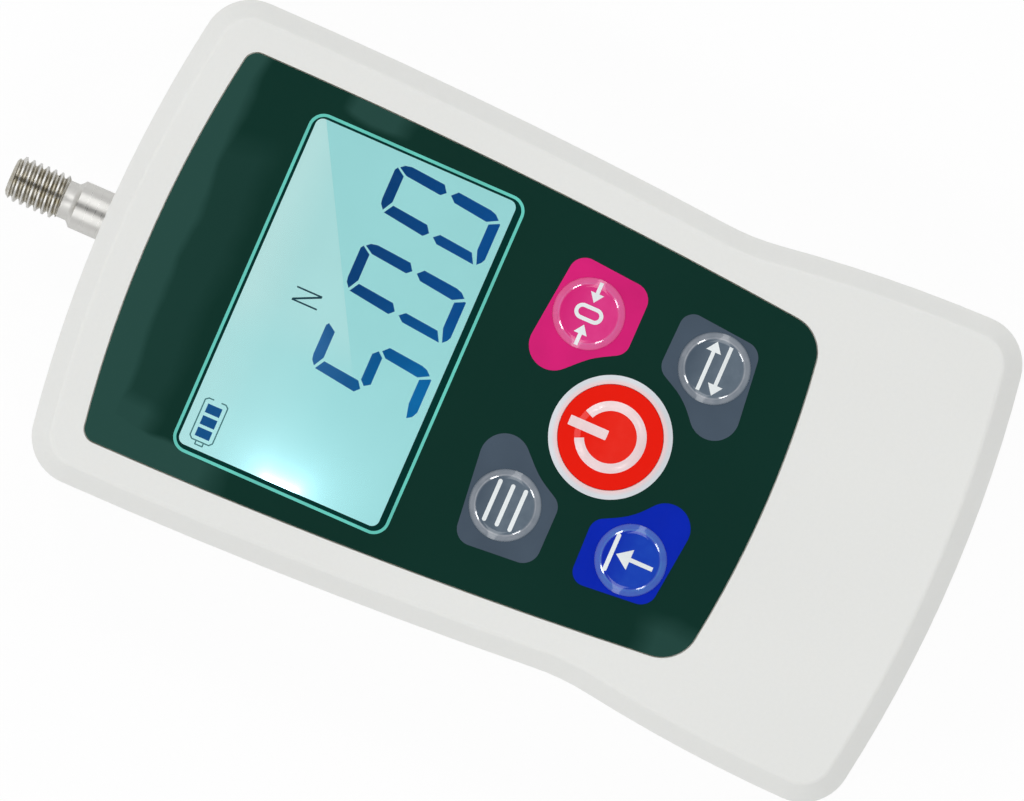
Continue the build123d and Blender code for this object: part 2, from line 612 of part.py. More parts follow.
with BuildPart() as key_switches:
    with BuildSketch(Plane.XY.offset(BOARD_TOP)):
        with Locations(*KEY_CENTRES):
            Rectangle(SWITCH_WIDTH, SWITCH_WIDTH)
    extrude(amount=SWITCH_HEIGHT)
    extrude(
        discs(KEY_CENTRES, STEM_RADIUS + RUN_GAP, STEM_Z - KEY_TRAVEL - KEY_POCKET_ROOM),
        amount=STEM_ENGAGEMENT + KEY_TRAVEL + KEY_POCKET_ROOM,
        mode=Mode.SUBTRACT,
    )

# ---- Display ----
with BuildPart() as lcd_frame:
    extrude(
        panel(FRAME_WIDTH, FRAME_HEIGHT, BOARD_TOP, DISPLAY_CENTRE, FRAME_WALL), amount=GASKET_Z - BOARD_TOP
    )
    extrude(
        panel(GLASS_WIDTH + 2 * FIT_GAP, GLASS_HEIGHT + 2 * FIT_GAP, BOARD_TOP, DISPLAY_CENTRE),
        amount=GASKET_Z - BOARD_TOP,
        mode=Mode.SUBTRACT,
    )

with BuildPart() as backlight_panel:
    extrude(
        panel(GLASS_WIDTH, GLASS_HEIGHT - 2 * CONTACT_LEDGE, BOARD_TOP, DISPLAY_CENTRE),
        amount=BACKLIGHT_THICKNESS,
    )

with BuildPart() as lcd_rear_glass:
    extrude(
        panel(GLASS_WIDTH, GLASS_HEIGHT - 2 * CONTACT_LEDGE, REAR_GLASS_Z, DISPLAY_CENTRE),
        amount=GLASS_THICKNESS,
    )

with BuildPart() as lcd_front_glass:
    extrude(panel(GLASS_WIDTH, GLASS_HEIGHT, FRONT_GLASS_Z, DISPLAY_CENTRE), amount=GLASS_THICKNESS)

with BuildPart() as elastomer_strips:
    with BuildSketch(Plane.XY.offset(BOARD_TOP)):
        with Locations(DISPLAY_CENTRE):
            with GridLocations(1, GLASS_HEIGHT - CONTACT_LEDGE, 1, 2):
                Rectangle(DISPLAY_WIDTH, STRIP_WIDTH)
    extrude(amount=FRONT_GLASS_Z - BOARD_TOP)

with BuildPart() as window_gasket:
    extrude(panel(FRAME_WIDTH, FRAME_HEIGHT, GASKET_Z, DISPLAY_CENTRE, FRAME_WALL), amount=GASKET_THICKNESS)
    extrude(
        panel(OPENING_WIDTH, OPENING_HEIGHT, GASKET_Z, DISPLAY_CENTRE),
        amount=GASKET_THICKNESS,
        mode=Mode.SUBTRACT,
    )

# ---- Main board and what it carries ----
with BuildPart() as main_board:
    with BuildSketch(Plane.XY.offset(BOARD_Z)):
        add(arched_outline(CASE_SHAPE, 0, WALL + BOARD_EDGE_GAP))
        with Locations((0, BOARD_TOP_Y - BODY_LENGTH / 2)):
            Rectangle(4 * HEAD_HALF_WIDTH, BODY_LENGTH, mode=Mode.INTERSECT)
        with Locations(*CASE_SCREWS):
            Circle(CASE_BOSS_RADIUS + BOARD_EDGE_GAP, mode=Mode.SUBTRACT)
        with Locations(*BOARD_SCREWS):
            Circle(BOARD_SCREW_RADIUS + FIT_GAP, mode=Mode.SUBTRACT)
    extrude(amount=BOARD_THICKNESS)

with BuildPart() as board_screws:
    extrude(discs(BOARD_SCREWS, BOARD_SCREW_HEAD_RADIUS, BOARD_Z - BOARD_SCREW_HEAD), amount=BOARD_SCREW_HEAD)
    extrude(discs(BOARD_SCREWS, BOARD_SCREW_RADIUS, BOARD_Z), amount=BOARD_SCREW_LENGTH)

with BuildPart() as microcontroller:
    extrude(
        panel(CONTROLLER_WIDTH, CONTROLLER_WIDTH, BOARD_TOP, (CONTROLLER_X, FREE_BOARD_Y + CONTROLLER_RISE)),
        amount=CONTROLLER_HEIGHT,
    )
    chamfer(microcontroller.faces().sort_by(Axis.Z)[-1].edges(), CHIP_CHAMFER)

with BuildPart() as signal_amplifier:
    extrude(
        panel(AMPLIFIER_WIDTH, AMPLIFIER_LENGTH, BOARD_TOP, (AMPLIFIER_X, FREE_BOARD_Y + AMPLIFIER_RISE)),
        amount=AMPLIFIER_HEIGHT,
    )
    chamfer(signal_amplifier.faces().sort_by(Axis.Z)[-1].edges(), CHIP_CHAMFER)

with BuildPart() as board_components:
    for x, rise in CAPACITOR_PLACES:
        extrude(discs([(x, FREE_BOARD_Y + rise)], CAPACITOR_RADIUS, BOARD_TOP), amount=CAPACITOR_HEIGHT)
    for x, rise, width, length, height in BLOCK_COMPONENTS:
        extrude(panel(width, length, BOARD_TOP, (x, FREE_BOARD_Y + rise)), amount=height)

BUZZER_CENTRE = (BUZZER_X, FREE_BOARD_Y + BUZZER_RISE)
with BuildPart() as buzzer:
    extrude(discs([BUZZER_CENTRE], BUZZER_RADIUS, BOARD_TOP), amount=BUZZER_HEIGHT)
    extrude(
        discs([BUZZER_CENTRE], BUZZER_VENT_RADIUS, BOARD_TOP + BUZZER_HEIGHT / 2),
        amount=BUZZER_HEIGHT / 2,
        mode=Mode.SUBTRACT,
    )

SOCKET_MOUTH = Plane(
    (0, -TOP_Y + SOCKET_SETBACK, BOARD_TOP + SOCKET_HEIGHT / 2), x_dir=(1, 0, 0), z_dir=(0, 1, 0)
)
with BuildPart() as charge_socket:
    with BuildSketch(SOCKET_MOUTH):
        RectangleRounded(SOCKET_WIDTH, SOCKET_HEIGHT, SOCKET_HEIGHT / 2 - SOCKET_SKIN)
    extrude(amount=SOCKET_DEPTH)
    with BuildSketch(SOCKET_MOUTH):
        RectangleRounded(
            SOCKET_WIDTH - 2 * SOCKET_SKIN,
            SOCKET_HEIGHT - 2 * SOCKET_SKIN,
            SOCKET_HEIGHT / 2 - 2 * SOCKET_SKIN,
        )
    extrude(amount=SOCKET_DEPTH - 2 * SOCKET_SKIN, mode=Mode.SUBTRACT)
    with BuildSketch(SOCKET_MOUTH.offset(SOCKET_DEPTH - 2 * SOCKET_SKIN)):
        Rectangle(SOCKET_TONGUE_WIDTH, SOCKET_TONGUE_THICKNESS)
    extrude(amount=-SOCKET_TONGUE_LENGTH)

# ---- Sensing shaft ----
with BuildPart() as sensing_shaft:
    with BuildSketch(Plane((0, 0, SHAFT_Z))):
        with BuildLine():
            Polyline(
                (0, NUT_Y - SPIGOT_LENGTH),
                (SPIGOT_RADIUS - STUD_LEAD, NUT_Y - SPIGOT_LENGTH),
                (SPIGOT_RADIUS, NUT_Y - SPIGOT_LENGTH + STUD_LEAD),
                (SPIGOT_RADIUS, NUT_Y + LOCK_NUT_THICKNESS),
                (SHAFT_RADIUS, NUT_Y + LOCK_NUT_THICKNESS),
                (SHAFT_RADIUS, TOP_Y + SHAFT_OUTSIDE),
                (NECK_RADIUS, TOP_Y + SHAFT_OUTSIDE + SHOULDER_LENGTH),
                (NECK_RADIUS, STUD_Y),
                (STUD_RADIUS, STUD_Y + STUD_LEAD),
                (STUD_RADIUS, STUD_Y + STUD_LEAD + STUD_LENGTH),
                (STUD_TIP_RADIUS, STUD_Y + STUD_LEAD + STUD_LENGTH + STUD_TIP_LENGTH),
                (0, STUD_Y + STUD_LEAD + STUD_LENGTH + STUD_TIP_LENGTH),
                close=True,
            )
        make_face()
    revolve(axis=Axis((0, 0, SHAFT_Z), (0, 1, 0)))

with BuildPart() as lock_nut:
    with BuildSketch(Plane((0, NUT_Y, SHAFT_Z), x_dir=(1, 0, 0), z_dir=(0, 1, 0))):
        RegularPolygon(LOCK_NUT_WIDTH / 2, 6, major_radius=False)
        Circle(SPIGOT_RADIUS + THREAD_GAP, mode=Mode.SUBTRACT)
    extrude(amount=LOCK_NUT_THICKNESS)

# ---- Load cell and its fastening ----
with BuildPart() as load_cell:
    extrude(panel(CELL_WIDTH, CELL_LENGTH, CELL_Z, (0, CELL_Y + CELL_LENGTH / 2)), amount=CELL_DEPTH)
    with BuildSketch(Plane.XY.offset(CELL_Z)):
        with Locations(
            (CELL_WEB, CELL_Y + CELL_ARM + CELL_SLOT / 2),
            (-CELL_WEB, CELL_Y + CELL_LENGTH - CELL_ARM - CELL_SLOT / 2),
        ):
            Rectangle(CELL_WIDTH, CELL_SLOT)
        with Locations((0, CELL_Y + CELL_LENGTH / 2)):
            Rectangle(2 * GAUGE_HOLE_OFFSET, GAUGE_HOLE_RADIUS)
        with Locations(
            (-GAUGE_HOLE_OFFSET, CELL_Y + CELL_LENGTH / 2), (GAUGE_HOLE_OFFSET, CELL_Y + CELL_LENGTH / 2)
        ):
            Circle(GAUGE_HOLE_RADIUS)
    extrude(amount=CELL_DEPTH, mode=Mode.SUBTRACT)
    extrude(
        along_shaft(SPIGOT_RADIUS + THREAD_GAP, NUT_Y - CELL_ARM), amount=CELL_ARM, mode=Mode.SUBTRACT
    )
    extrude(along_shaft(CELL_BOLT_RADIUS + THREAD_GAP, CELL_Y), amount=CELL_ARM, mode=Mode.SUBTRACT)

with BuildPart() as strain_gauges:
    with BuildSketch(Plane.XY.offset(SHAFT_Z - GAUGE_WIDTH / 2)):
        for y in (
            CELL_Y + CELL_ARM + CELL_SLOT - GAUGE_THICKNESS / 2,
            CELL_Y + CELL_LENGTH - CELL_ARM - CELL_SLOT + GAUGE_THICKNESS / 2,
        ):
            with Locations((-GAUGE_HOLE_OFFSET, y), (GAUGE_HOLE_OFFSET, y)):
                Rectangle(GAUGE_WIDTH, GAUGE_THICKNESS)
    extrude(amount=GAUGE_WIDTH)

with BuildPart() as cell_bracket:
    extrude(
        panel(BRACKET_WIDTH, BRACKET_THICKNESS, PLATE_TOP, (0, BRACKET_Y + BRACKET_THICKNESS / 2)),
        amount=CELL_TOP_Z - PLATE_TOP,
    )
    extrude(
        along_shaft(CELL_BOLT_RADIUS + FIT_GAP, BRACKET_Y), amount=BRACKET_THICKNESS, mode=Mode.SUBTRACT
    )
    extrude(
        discs(BRACKET_SCREWS, BRACKET_SCREW_RADIUS + THREAD_GAP, PLATE_TOP),
        amount=BRACKET_SCREW_LENGTH - CHASSIS_THICKNESS + FIT_GAP,
        mode=Mode.SUBTRACT,
    )

BOLT_LENGTH = WASHER_THICKNESS + BRACKET_THICKNESS + CELL_ARM
with BuildPart() as load_cell_bolt:
    extrude(along_shaft(CELL_BOLT_HEAD_RADIUS, BOLT_HEAD_Y - CELL_BOLT_HEAD), amount=CELL_BOLT_HEAD)
    extrude(along_shaft(CELL_BOLT_RADIUS, BOLT_HEAD_Y), amount=BOLT_LENGTH)
    with BuildSketch(Plane((0, BOLT_HEAD_Y - CELL_BOLT_HEAD, SHAFT_Z), x_dir=(1, 0, 0), z_dir=(0, 1, 0))):
        RegularPolygon(HEX_SOCKET_RADIUS, 6)
    extrude(amount=HEX_SOCKET_DEPTH, mode=Mode.SUBTRACT)

with BuildPart() as lock_washer:
    extrude(along_shaft(WASHER_RADIUS, BOLT_HEAD_Y), amount=WASHER_THICKNESS)
    extrude(along_shaft(CELL_BOLT_RADIUS + FIT_GAP, BOLT_HEAD_Y), amount=WASHER_THICKNESS, mode=Mode.SUBTRACT)

# ---- Chassis ----
with BuildPart() as chassis_plate:
    extrude(
        panel(CHASSIS_WIDTH, CHASSIS_LENGTH, PLATE_Z, (0, CHASSIS_Y + CHASSIS_LENGTH / 2), CHASSIS_CORNER),
        amount=CHASSIS_THICKNESS,
    )
    extrude(
        discs(MOUNTS, POST_SPIGOT_RADIUS + RUN_GAP, PLATE_Z), amount=CHASSIS_THICKNESS, mode=Mode.SUBTRACT
    )
    extrude(
        discs(CHASSIS_SCREWS, SMALL_SCREW_RADIUS + FIT_GAP, PLATE_Z),
        amount=CHASSIS_THICKNESS,
        mode=Mode.SUBTRACT,
    )
    with Locations(*[Location((x, y, PLATE_Z), (180, 0, 0)) for x, y in BRACKET_SCREWS]):
        CounterSinkHole(BRACKET_SCREW_RADIUS + FIT_GAP, COUNTERSINK_RADIUS + FIT_GAP, CHASSIS_THICKNESS, 90)

with BuildPart() as mounting_posts:
    extrude(discs(MOUNTS, POST_RADIUS, 0), amount=PLATE_Z)
    extrude(discs(MOUNTS, POST_SPIGOT_RADIUS, PLATE_Z), amount=CHASSIS_THICKNESS)
    extrude(discs(MOUNTS, MOUNT_HOLE_RADIUS, 0), amount=MOUNT_HOLE_DEPTH, mode=Mode.SUBTRACT)

with BuildPart() as chassis_screws:
    extrude(discs(CHASSIS_SCREWS, SMALL_HEAD_RADIUS, PLATE_TOP), amount=SMALL_HEAD)
    extrude(
        discs(CHASSIS_SCREWS, SMALL_SCREW_RADIUS, PLATE_TOP - CHASSIS_SCREW_LENGTH),
        amount=CHASSIS_SCREW_LENGTH,
    )

with BuildPart() as bracket_screws:
    with Locations(*[(x, y, PLATE_Z) for x, y in BRACKET_SCREWS]):
        Cone(
            COUNTERSINK_RADIUS,
            BRACKET_SCREW_RADIUS,
            COUNTERSINK_RADIUS - BRACKET_SCREW_RADIUS,
            align=(Align.CENTER, Align.CENTER, Align.MIN),
        )
        Cylinder(
            BRACKET_SCREW_RADIUS, BRACKET_SCREW_LENGTH, align=(Align.CENTER, Align.CENTER, Align.MIN)
        )

# ---- Battery ----
TRAY_CENTRE = (0, TRAY_Y + TRAY_LENGTH / 2)
with BuildPart() as battery_tray:
    extrude(panel(TRAY_WIDTH, TRAY_LENGTH, PLATE_TOP, TRAY_CENTRE), amount=TRAY_HEIGHT)
    extrude(
        panel(TRAY_INNER_WIDTH, TRAY_INNER_LENGTH, PLATE_TOP + TRAY_FLOOR, TRAY_CENTRE),
        amount=TRAY_HEIGHT,
        mode=Mode.SUBTRACT,
    )

BATTERY_ROWS = [FIRST_BATTERY_Y + row * BATTERY_PITCH for row in range(CELLS)]
with BuildPart() as battery_cells:
    for row, y in enumerate(BATTERY_ROWS):
        hand = 1 if row % 2 else -1
        with BuildSketch(
            Plane((-hand * BATTERY_LENGTH / 2, y, BATTERY_Z), x_dir=(0, 1, 0), z_dir=(hand, 0, 0))
        ):
            Circle(BATTERY_RADIUS)
        extrude(amount=BATTERY_LENGTH - BATTERY_NUB)
        with BuildSketch(
            Plane((hand * BATTERY_LENGTH / 2, y, BATTERY_Z), x_dir=(0, 1, 0), z_dir=(hand, 0, 0))
        ):
            Circle(BATTERY_NUB_RADIUS)
        extrude(amount=-BATTERY_NUB)

with BuildPart() as battery_links:
    for row, y in enumerate(BATTERY_ROWS[:-1]):
        hand = 1 if row % 2 else -1
        link_centre = (hand * BATTERY_LENGTH / 2, y + BATTERY_PITCH / 2, BATTERY_Z)
        with BuildSketch(Plane(link_centre, x_dir=(0, 1, 0), z_dir=(hand, 0, 0))):
            Rectangle(BATTERY_PITCH + BATTERY_RADIUS, LINK_HEIGHT)
        extrude(amount=LINK_THICKNESS)

with BuildPart() as battery_pad:
    extrude(
        panel(PAD_WIDTH, PAD_LENGTH, BATTERY_TOP, TRAY_CENTRE),
        amount=BOARD_Z - BATTERY_TOP,
    )

# ---- Leads and their connectors, on the underside of the board ----
CONNECTOR_Z = BOARD_Z - CONNECTOR_HEIGHT
SENSOR_CONNECTOR = (CELL_WIDTH / 2 + CONNECTOR_WIDTH, BRACKET_Y)
BATTERY_CONNECTOR = (-SENSOR_CONNECTOR[0], BRACKET_Y - CONNECTOR_LENGTH)
with BuildPart() as sensor_connector:
    extrude(panel(CONNECTOR_WIDTH, CONNECTOR_LENGTH, CONNECTOR_Z, SENSOR_CONNECTOR), amount=CONNECTOR_HEIGHT)

with BuildPart() as battery_connector:
    extrude(panel(CONNECTOR_WIDTH, CONNECTOR_LENGTH, CONNECTOR_Z, BATTERY_CONNECTOR), amount=CONNECTOR_HEIGHT)


def bend_radii(points):
    """The radius at each corner of a route: 0.45 of its shorter run over the tangent of half the turn."""
    corners = [Vector(point) for point in points]
    radii = []
    for before, corner, after in zip(corners, corners[1:], corners[2:]):
        run_in, run_out = corner - before, after - corner
        half_turn = run_in.get_angle(run_out) / 2
        radii.append(0.45 * min(run_in.length, run_out.length) / tan(radians(half_turn)))
    return radii


def lead(points, radius, name):
    """A round lead along straight runs joined by arcs as large as the runs allow."""
    radii = bend_radii(points)
    print(name, "bend radii", [round(r, 1) for r in radii])
    with BuildLine() as route:
        FilletPolyline(*points, radius=radii)
    with BuildSketch(Plane(route.wire() @ 0, z_dir=route.wire() % 0)) as section:
        Circle(radius)
    return sweep(section.sketch, path=route.wire())


LEAD_END_Z = BOARD_Z - CONNECTOR_HEIGHT / 2
SENSOR_END_Y = SENSOR_CONNECTOR[1] + CONNECTOR_LENGTH / 2
with BuildPart() as sensor_lead:
    add(
        lead(
            [
                (CELL_WIDTH / 2 + SENSOR_LEAD_RADIUS, CELL_Y + CELL_LENGTH / 2 + LEAD_START_RISE, SHAFT_Z),
                (
                    SENSOR_CONNECTOR[0] - LEAD_BEND_INSET,
                    CELL_Y + CELL_LENGTH / 2 - LEAD_BEND_DROP,
                    SHAFT_Z + LEAD_BEND_RISE,
                ),
                (SENSOR_CONNECTOR[0], SENSOR_END_Y + LEAD_RUN_IN, LEAD_END_Z),
                (SENSOR_CONNECTOR[0], SENSOR_END_Y, LEAD_END_Z),
            ],
            SENSOR_LEAD_RADIUS,
            "sensor lead",
        )
    )

BATTERY_END_Y = BATTERY_CONNECTOR[1] - CONNECTOR_LENGTH / 2
with BuildPart() as battery_lead:
    for x in (BATTERY_CONNECTOR[0] - WIRE_PITCH / 2, BATTERY_CONNECTOR[0] + WIRE_PITCH / 2):
        add(
            lead(
                [
                    (x, BATTERY_ROWS[-1] - LEAD_BEND_DROP, BATTERY_TOP + 1.5 * BATTERY_LEAD_RADIUS),
                    (x, BATTERY_END_Y - LEAD_RUN_IN, LEAD_END_Z),
                    (x, BATTERY_END_Y, LEAD_END_Z),
                ],
                BATTERY_LEAD_RADIUS,
                "battery lead",
            )
        )

# ---- Names and files ----
pieces = {
    "rear_shell": rear_shell,
    "front_shell": front_shell,
    "case_screws": case_screws,
    "front_overlay": front_overlay,
    "display_window": display_window,
    **domes,
    **stems,
    "key_switches": key_switches,
    "lcd_frame": lcd_frame,
    "backlight_panel": backlight_panel,
    "lcd_rear_glass": lcd_rear_glass,
    "lcd_front_glass": lcd_front_glass,
    "elastomer_strips": elastomer_strips,
    "window_gasket": window_gasket,
    "main_board": main_board,
    "board_screws": board_screws,
    "microcontroller": microcontroller,
    "signal_amplifier": signal_amplifier,
    "board_components": board_components,
    "buzzer": buzzer,
    "charge_socket": charge_socket,
    "sensing_shaft": sensing_shaft,
    "lock_nut": lock_nut,
    "load_cell": load_cell,
    "strain_gauges": strain_gauges,
    "cell_bracket": cell_bracket,
    "load_cell_bolt": load_cell_bolt,
    "lock_washer": lock_washer,
    "chassis_plate": chassis_plate,
    "mounting_posts": mounting_posts,
    "chassis_screws": chassis_screws,
    "bracket_screws": bracket_screws,
    "battery_tray": battery_tray,
    "battery_cells": battery_cells,
    "battery_links": battery_links,
    "battery_pad": battery_pad,
    "sensor_connector": sensor_connector,
    "battery_connector": battery_connector,
    "sensor_lead": sensor_lead,
    "battery_lead": battery_lead,
}
for name, piece in pieces.items():
    piece.part.label = name
    export_step(piece.part, f"parts/{name}.step")
print("case", round(2 * HEAD_HALF_WIDTH, 2), round(BODY_LENGTH, 2), round(FACE_Z, 2))
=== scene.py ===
"""Looks of a handheld digital force gauge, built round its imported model.

The model's own solids keep their shapes and get their finishes here. The threaded stud, the screws and
mounting posts in the back, the display's segments and everything printed on the front are made here.
Sizes and places are in millimetres, unless a comment gives another unit.
"""

import logging
import math
from collections.abc import Callable, Iterable, Sequence
from dataclasses import dataclass
from enum import Enum

import bmesh
import bpy
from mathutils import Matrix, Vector

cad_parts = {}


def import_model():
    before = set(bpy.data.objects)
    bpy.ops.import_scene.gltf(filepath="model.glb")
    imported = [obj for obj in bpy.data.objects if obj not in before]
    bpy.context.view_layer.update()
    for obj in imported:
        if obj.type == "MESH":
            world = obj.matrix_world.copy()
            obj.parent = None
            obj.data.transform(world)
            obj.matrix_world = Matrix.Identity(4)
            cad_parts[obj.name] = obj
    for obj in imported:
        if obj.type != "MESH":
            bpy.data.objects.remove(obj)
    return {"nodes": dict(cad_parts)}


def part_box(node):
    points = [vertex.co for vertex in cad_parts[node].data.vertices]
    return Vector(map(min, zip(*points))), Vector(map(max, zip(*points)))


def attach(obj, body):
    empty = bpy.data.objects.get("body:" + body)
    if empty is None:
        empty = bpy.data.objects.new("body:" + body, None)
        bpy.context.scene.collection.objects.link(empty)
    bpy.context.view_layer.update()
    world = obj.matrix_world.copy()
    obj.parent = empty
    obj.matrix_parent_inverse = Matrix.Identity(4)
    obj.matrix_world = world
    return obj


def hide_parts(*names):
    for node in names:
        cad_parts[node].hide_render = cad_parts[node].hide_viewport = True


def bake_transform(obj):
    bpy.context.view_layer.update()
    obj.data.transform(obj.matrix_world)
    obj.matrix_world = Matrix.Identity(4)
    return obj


MM = 0.001  # metres
WELD = 1e-7  # metres between two corners that become one
NOISE_RANGE = (0.3, 0.7)  # where most of a noise lies

Piece = bpy.types.Object
Material = bpy.types.Material
Socket = bpy.types.NodeSocket
Point = tuple[float, float]
Span = tuple[float, float]
Triple = tuple[float, float, float]
Colour = Triple
Outline = list[Point]
Places = Sequence[Sequence[float]]

DISPLAY_CENTRE: Point = (0.0, 24.75)
GRID = 1 / 7.917  # a step of the grid on which signs and patches are drawn, from the display's middle
HELIX_STEPS = 48  # faces of one turn of a thread
CIRCLE_POINTS = 96  # of a printed circle
LEVEL = 0.9  # the upright part of a face's normal, over which the face counts as level
STRAIGHT = 1e-6  # the turn, in radians, up to which a belt runs straight past a roller
ARROW_WING = 0.72  # half the width of an arrow's head, as a share of its length
SKIN_BLOCK = 3.0  # the height of the block that a skin is cut from
SKIN_GAP = 0.15  # a skin's gap over its carrier, as a share of its height

log = logging.getLogger("force_gauge")


# ---- Working in Blender as by hand ----
def only(piece: Piece) -> None:
    """Selects a piece and nothing else, and makes it active.

    Args:
        piece: The piece.
    """
    bpy.ops.object.select_all(action="DESELECT")
    piece.select_set(True)
    bpy.context.view_layer.objects.active = piece


def named(name: str) -> Piece:
    """Gives the object just added its name and returns it.

    Args:
        name: The name.

    Returns:
        The object.
    """
    piece = bpy.context.active_object
    piece.name = name
    piece.data.name = name
    return piece


def settle(piece: Piece) -> Piece:
    """Puts a piece's place, turn and scale into its mesh, and returns the piece.

    Args:
        piece: The piece.

    Returns:
        The same piece.
    """
    only(piece)
    bpy.ops.object.transform_apply(location=True, rotation=True, scale=True)
    return piece


def pick(
    piece: Piece,
    faces: Callable[[bmesh.types.BMFace], bool] | None = None,
    edges: Callable[[bmesh.types.BMEdge], bool] | None = None,
    verts: Callable[[bmesh.types.BMVert], bool] | None = None,
) -> None:
    """Selects, in edit mode, the faces, edges or vertices that pass a test.

    Args:
        piece: The piece in edit mode.
        faces: The test for a face.
        edges: The test for an edge.
        verts: The test for a vertex.
    """
    kind = "FACE" if faces else "EDGE" if edges else "VERT"
    bpy.ops.mesh.select_mode(type=kind)
    bpy.ops.mesh.select_all(action="DESELECT")
    mesh = bmesh.from_edit_mesh(piece.data)
    for group, test in ((mesh.faces, faces), (mesh.edges, edges), (mesh.verts, verts)):
        if test:
            for item in group:
                item.select_set(test(item))
    bmesh.update_edit_mesh(piece.data)


def move_verts(piece: Piece, places: Places) -> None:
    """Moves each vertex of a piece in edit mode to its own place.

    Args:
        piece: The piece in edit mode, with its object at the origin.
        places: A place for each vertex, in the order of the vertices.
    """
    for index, place in enumerate(places):
        pick(piece, verts=lambda vert: vert.index == index)
        start = bmesh.from_edit_mesh(piece.data)
        start.verts.ensure_lookup_table()
        bpy.ops.transform.translate(value=Vector(place) - start.verts[index].co)


def tidy_mesh(piece: Piece) -> None:
    """Merges the doubles of a piece and turns its faces outwards.

    Args:
        piece: The piece.
    """
    only(piece)
    bpy.ops.object.mode_set(mode="EDIT")
    bpy.ops.mesh.select_all(action="SELECT")
    bpy.ops.mesh.remove_doubles(threshold=WELD)
    bpy.ops.mesh.normals_make_consistent(inside=False)
    bpy.ops.object.mode_set(mode="OBJECT")


def finish_with(piece: Piece, kind: str, **settings: object) -> None:
    """Adds a modifier to a piece and applies it.

    Args:
        piece: The piece.
        kind: The modifier's type.
        settings: The modifier's settings.
    """
    only(piece)
    modifier = piece.modifiers.new(kind.lower(), kind)
    for name, value in settings.items():
        setattr(modifier, name, value)
    bpy.ops.object.modifier_apply(modifier=modifier.name)


def cut(piece: Piece, tool: Piece, operation: str = "DIFFERENCE") -> None:
    """Cuts a tool out of a piece, or keeps what they share, and throws the tool away."""
    finish_with(piece, "BOOLEAN", operation=operation, object=tool, solver="EXACT")
    bpy.data.objects.remove(tool)


def smooth(piece: Piece, angle: float = 32.0) -> Piece:
    """Shades a piece smooth where its faces meet at less than an angle in degrees, and returns it.

    Args:
        piece: The piece.
        angle: The angle, in degrees.

    Returns:
        The same piece.
    """
    only(piece)
    bpy.ops.object.shade_smooth_by_angle(angle=math.radians(angle))
    return piece


def copied(piece: Piece, name: str, shift: Vector) -> Piece:
    """A copy of a piece with its own mesh, moved by a shift.

    Args:
        piece: The piece.
        name: The copy's name.
        shift: How far it goes, in metres.

    Returns:
        The copy.
    """
    only(piece)
    bpy.ops.object.duplicate(linked=False)
    twin = named(name)
    bpy.ops.transform.translate(value=shift)
    return settle(twin)


def cylinder(name: str, radius: float, low: float, height: float, sides: int) -> Piece:
    """An upright cylinder about the z axis that stands at a height of low.

    Args:
        name: The piece's name.
        radius: Its radius.
        low: The height of its foot.
        height: Its own height.
        sides: The number of faces round it.

    Returns:
        The closed piece.
    """
    middle = (0, 0, (low + height / 2) * MM)
    bpy.ops.mesh.primitive_cylinder_add(
        vertices=sides, radius=radius * MM, depth=height * MM, location=middle
    )
    return settle(named(name))


def step_up(piece: Piece, inset: float, rise: float) -> None:
    """Grows a narrower shank from the top of a cylinder, in edit mode.

    Args:
        piece: The cylinder.
        inset: How much less the shank's radius is.
        rise: The shank's height.
    """
    pick(piece, faces=lambda face: face.normal.z > LEVEL)
    bpy.ops.mesh.inset(thickness=inset * MM)
    bpy.ops.mesh.extrude_region_move(TRANSFORM_OT_translate={"value": (0, 0, rise * MM)})


def profile_ring(name: str, places: Places) -> Piece:
    """A closed ring of edges through these places, left in object mode.

    Args:
        name: The ring's name.
        places: The places, in metres.

    Returns:
        The ring.
    """
    bpy.ops.mesh.primitive_circle_add(vertices=len(places), radius=MM, fill_type="NOTHING")
    ring = named(name)
    bpy.ops.object.mode_set(mode="EDIT")
    move_verts(ring, places)
    bpy.ops.object.mode_set(mode="OBJECT")
    return ring


def turned(name: str, places: Places, axis: str, steps: int) -> Piece:
    """A solid turned about an axis through the origin from half its section.

    Args:
        name: The piece's name.
        places: The half section, whose first and last places lie on the axis.
        axis: The axis, X, Y or Z.
        steps: The number of faces round it.

    Returns:
        The closed piece.
    """
    ring = profile_ring(name, places)
    bpy.ops.object.mode_set(mode="EDIT")
    ends = {0, len(places) - 1}
    pick(ring, edges=lambda edge: {vert.index for vert in edge.verts} == ends)
    bpy.ops.mesh.delete(type="EDGE")
    bpy.ops.object.mode_set(mode="OBJECT")
    counts = {"steps": steps, "render_steps": steps}
    finish_with(ring, "SCREW", axis=axis, use_merge_vertices=True, merge_threshold=WELD, **counts)
    tidy_mesh(ring)
    return ring


def helix(name: str, section: Places, axis: str, pitch: float, turns: int) -> Piece:
    """A closed section swept along a helix, with both its ends filled.

    Args:
        name: The piece's name.
        section: The section's corners.
        axis: The axis, X, Y or Z, through the origin.
        pitch: The rise of one turn.
        turns: The number of turns.

    Returns:
        The closed piece.
    """
    coil = profile_ring(name, section)
    counts = {"steps": HELIX_STEPS, "render_steps": HELIX_STEPS, "iterations": turns}
    finish_with(coil, "SCREW", axis=axis, screw_offset=pitch, **counts)
    bpy.ops.object.mode_set(mode="EDIT")
    bpy.ops.mesh.select_mode(type="EDGE")
    bpy.ops.mesh.select_all(action="DESELECT")
    bpy.ops.mesh.select_non_manifold()
    bpy.ops.mesh.fill_holes(sides=0)
    bpy.ops.object.mode_set(mode="OBJECT")
    tidy_mesh(coil)
    return coil


# ---- Flat outlines ----
@dataclass(frozen=True)
class Roller:
    """A circle that an outline goes round, on its left side or, where it is hollow, on its right."""

    x: float
    y: float
    radius: float
    hollow: bool = False

    @property
    def signed(self) -> float:
        """The radius, negative on a hollow roller."""
        return -self.radius if self.hollow else self.radius


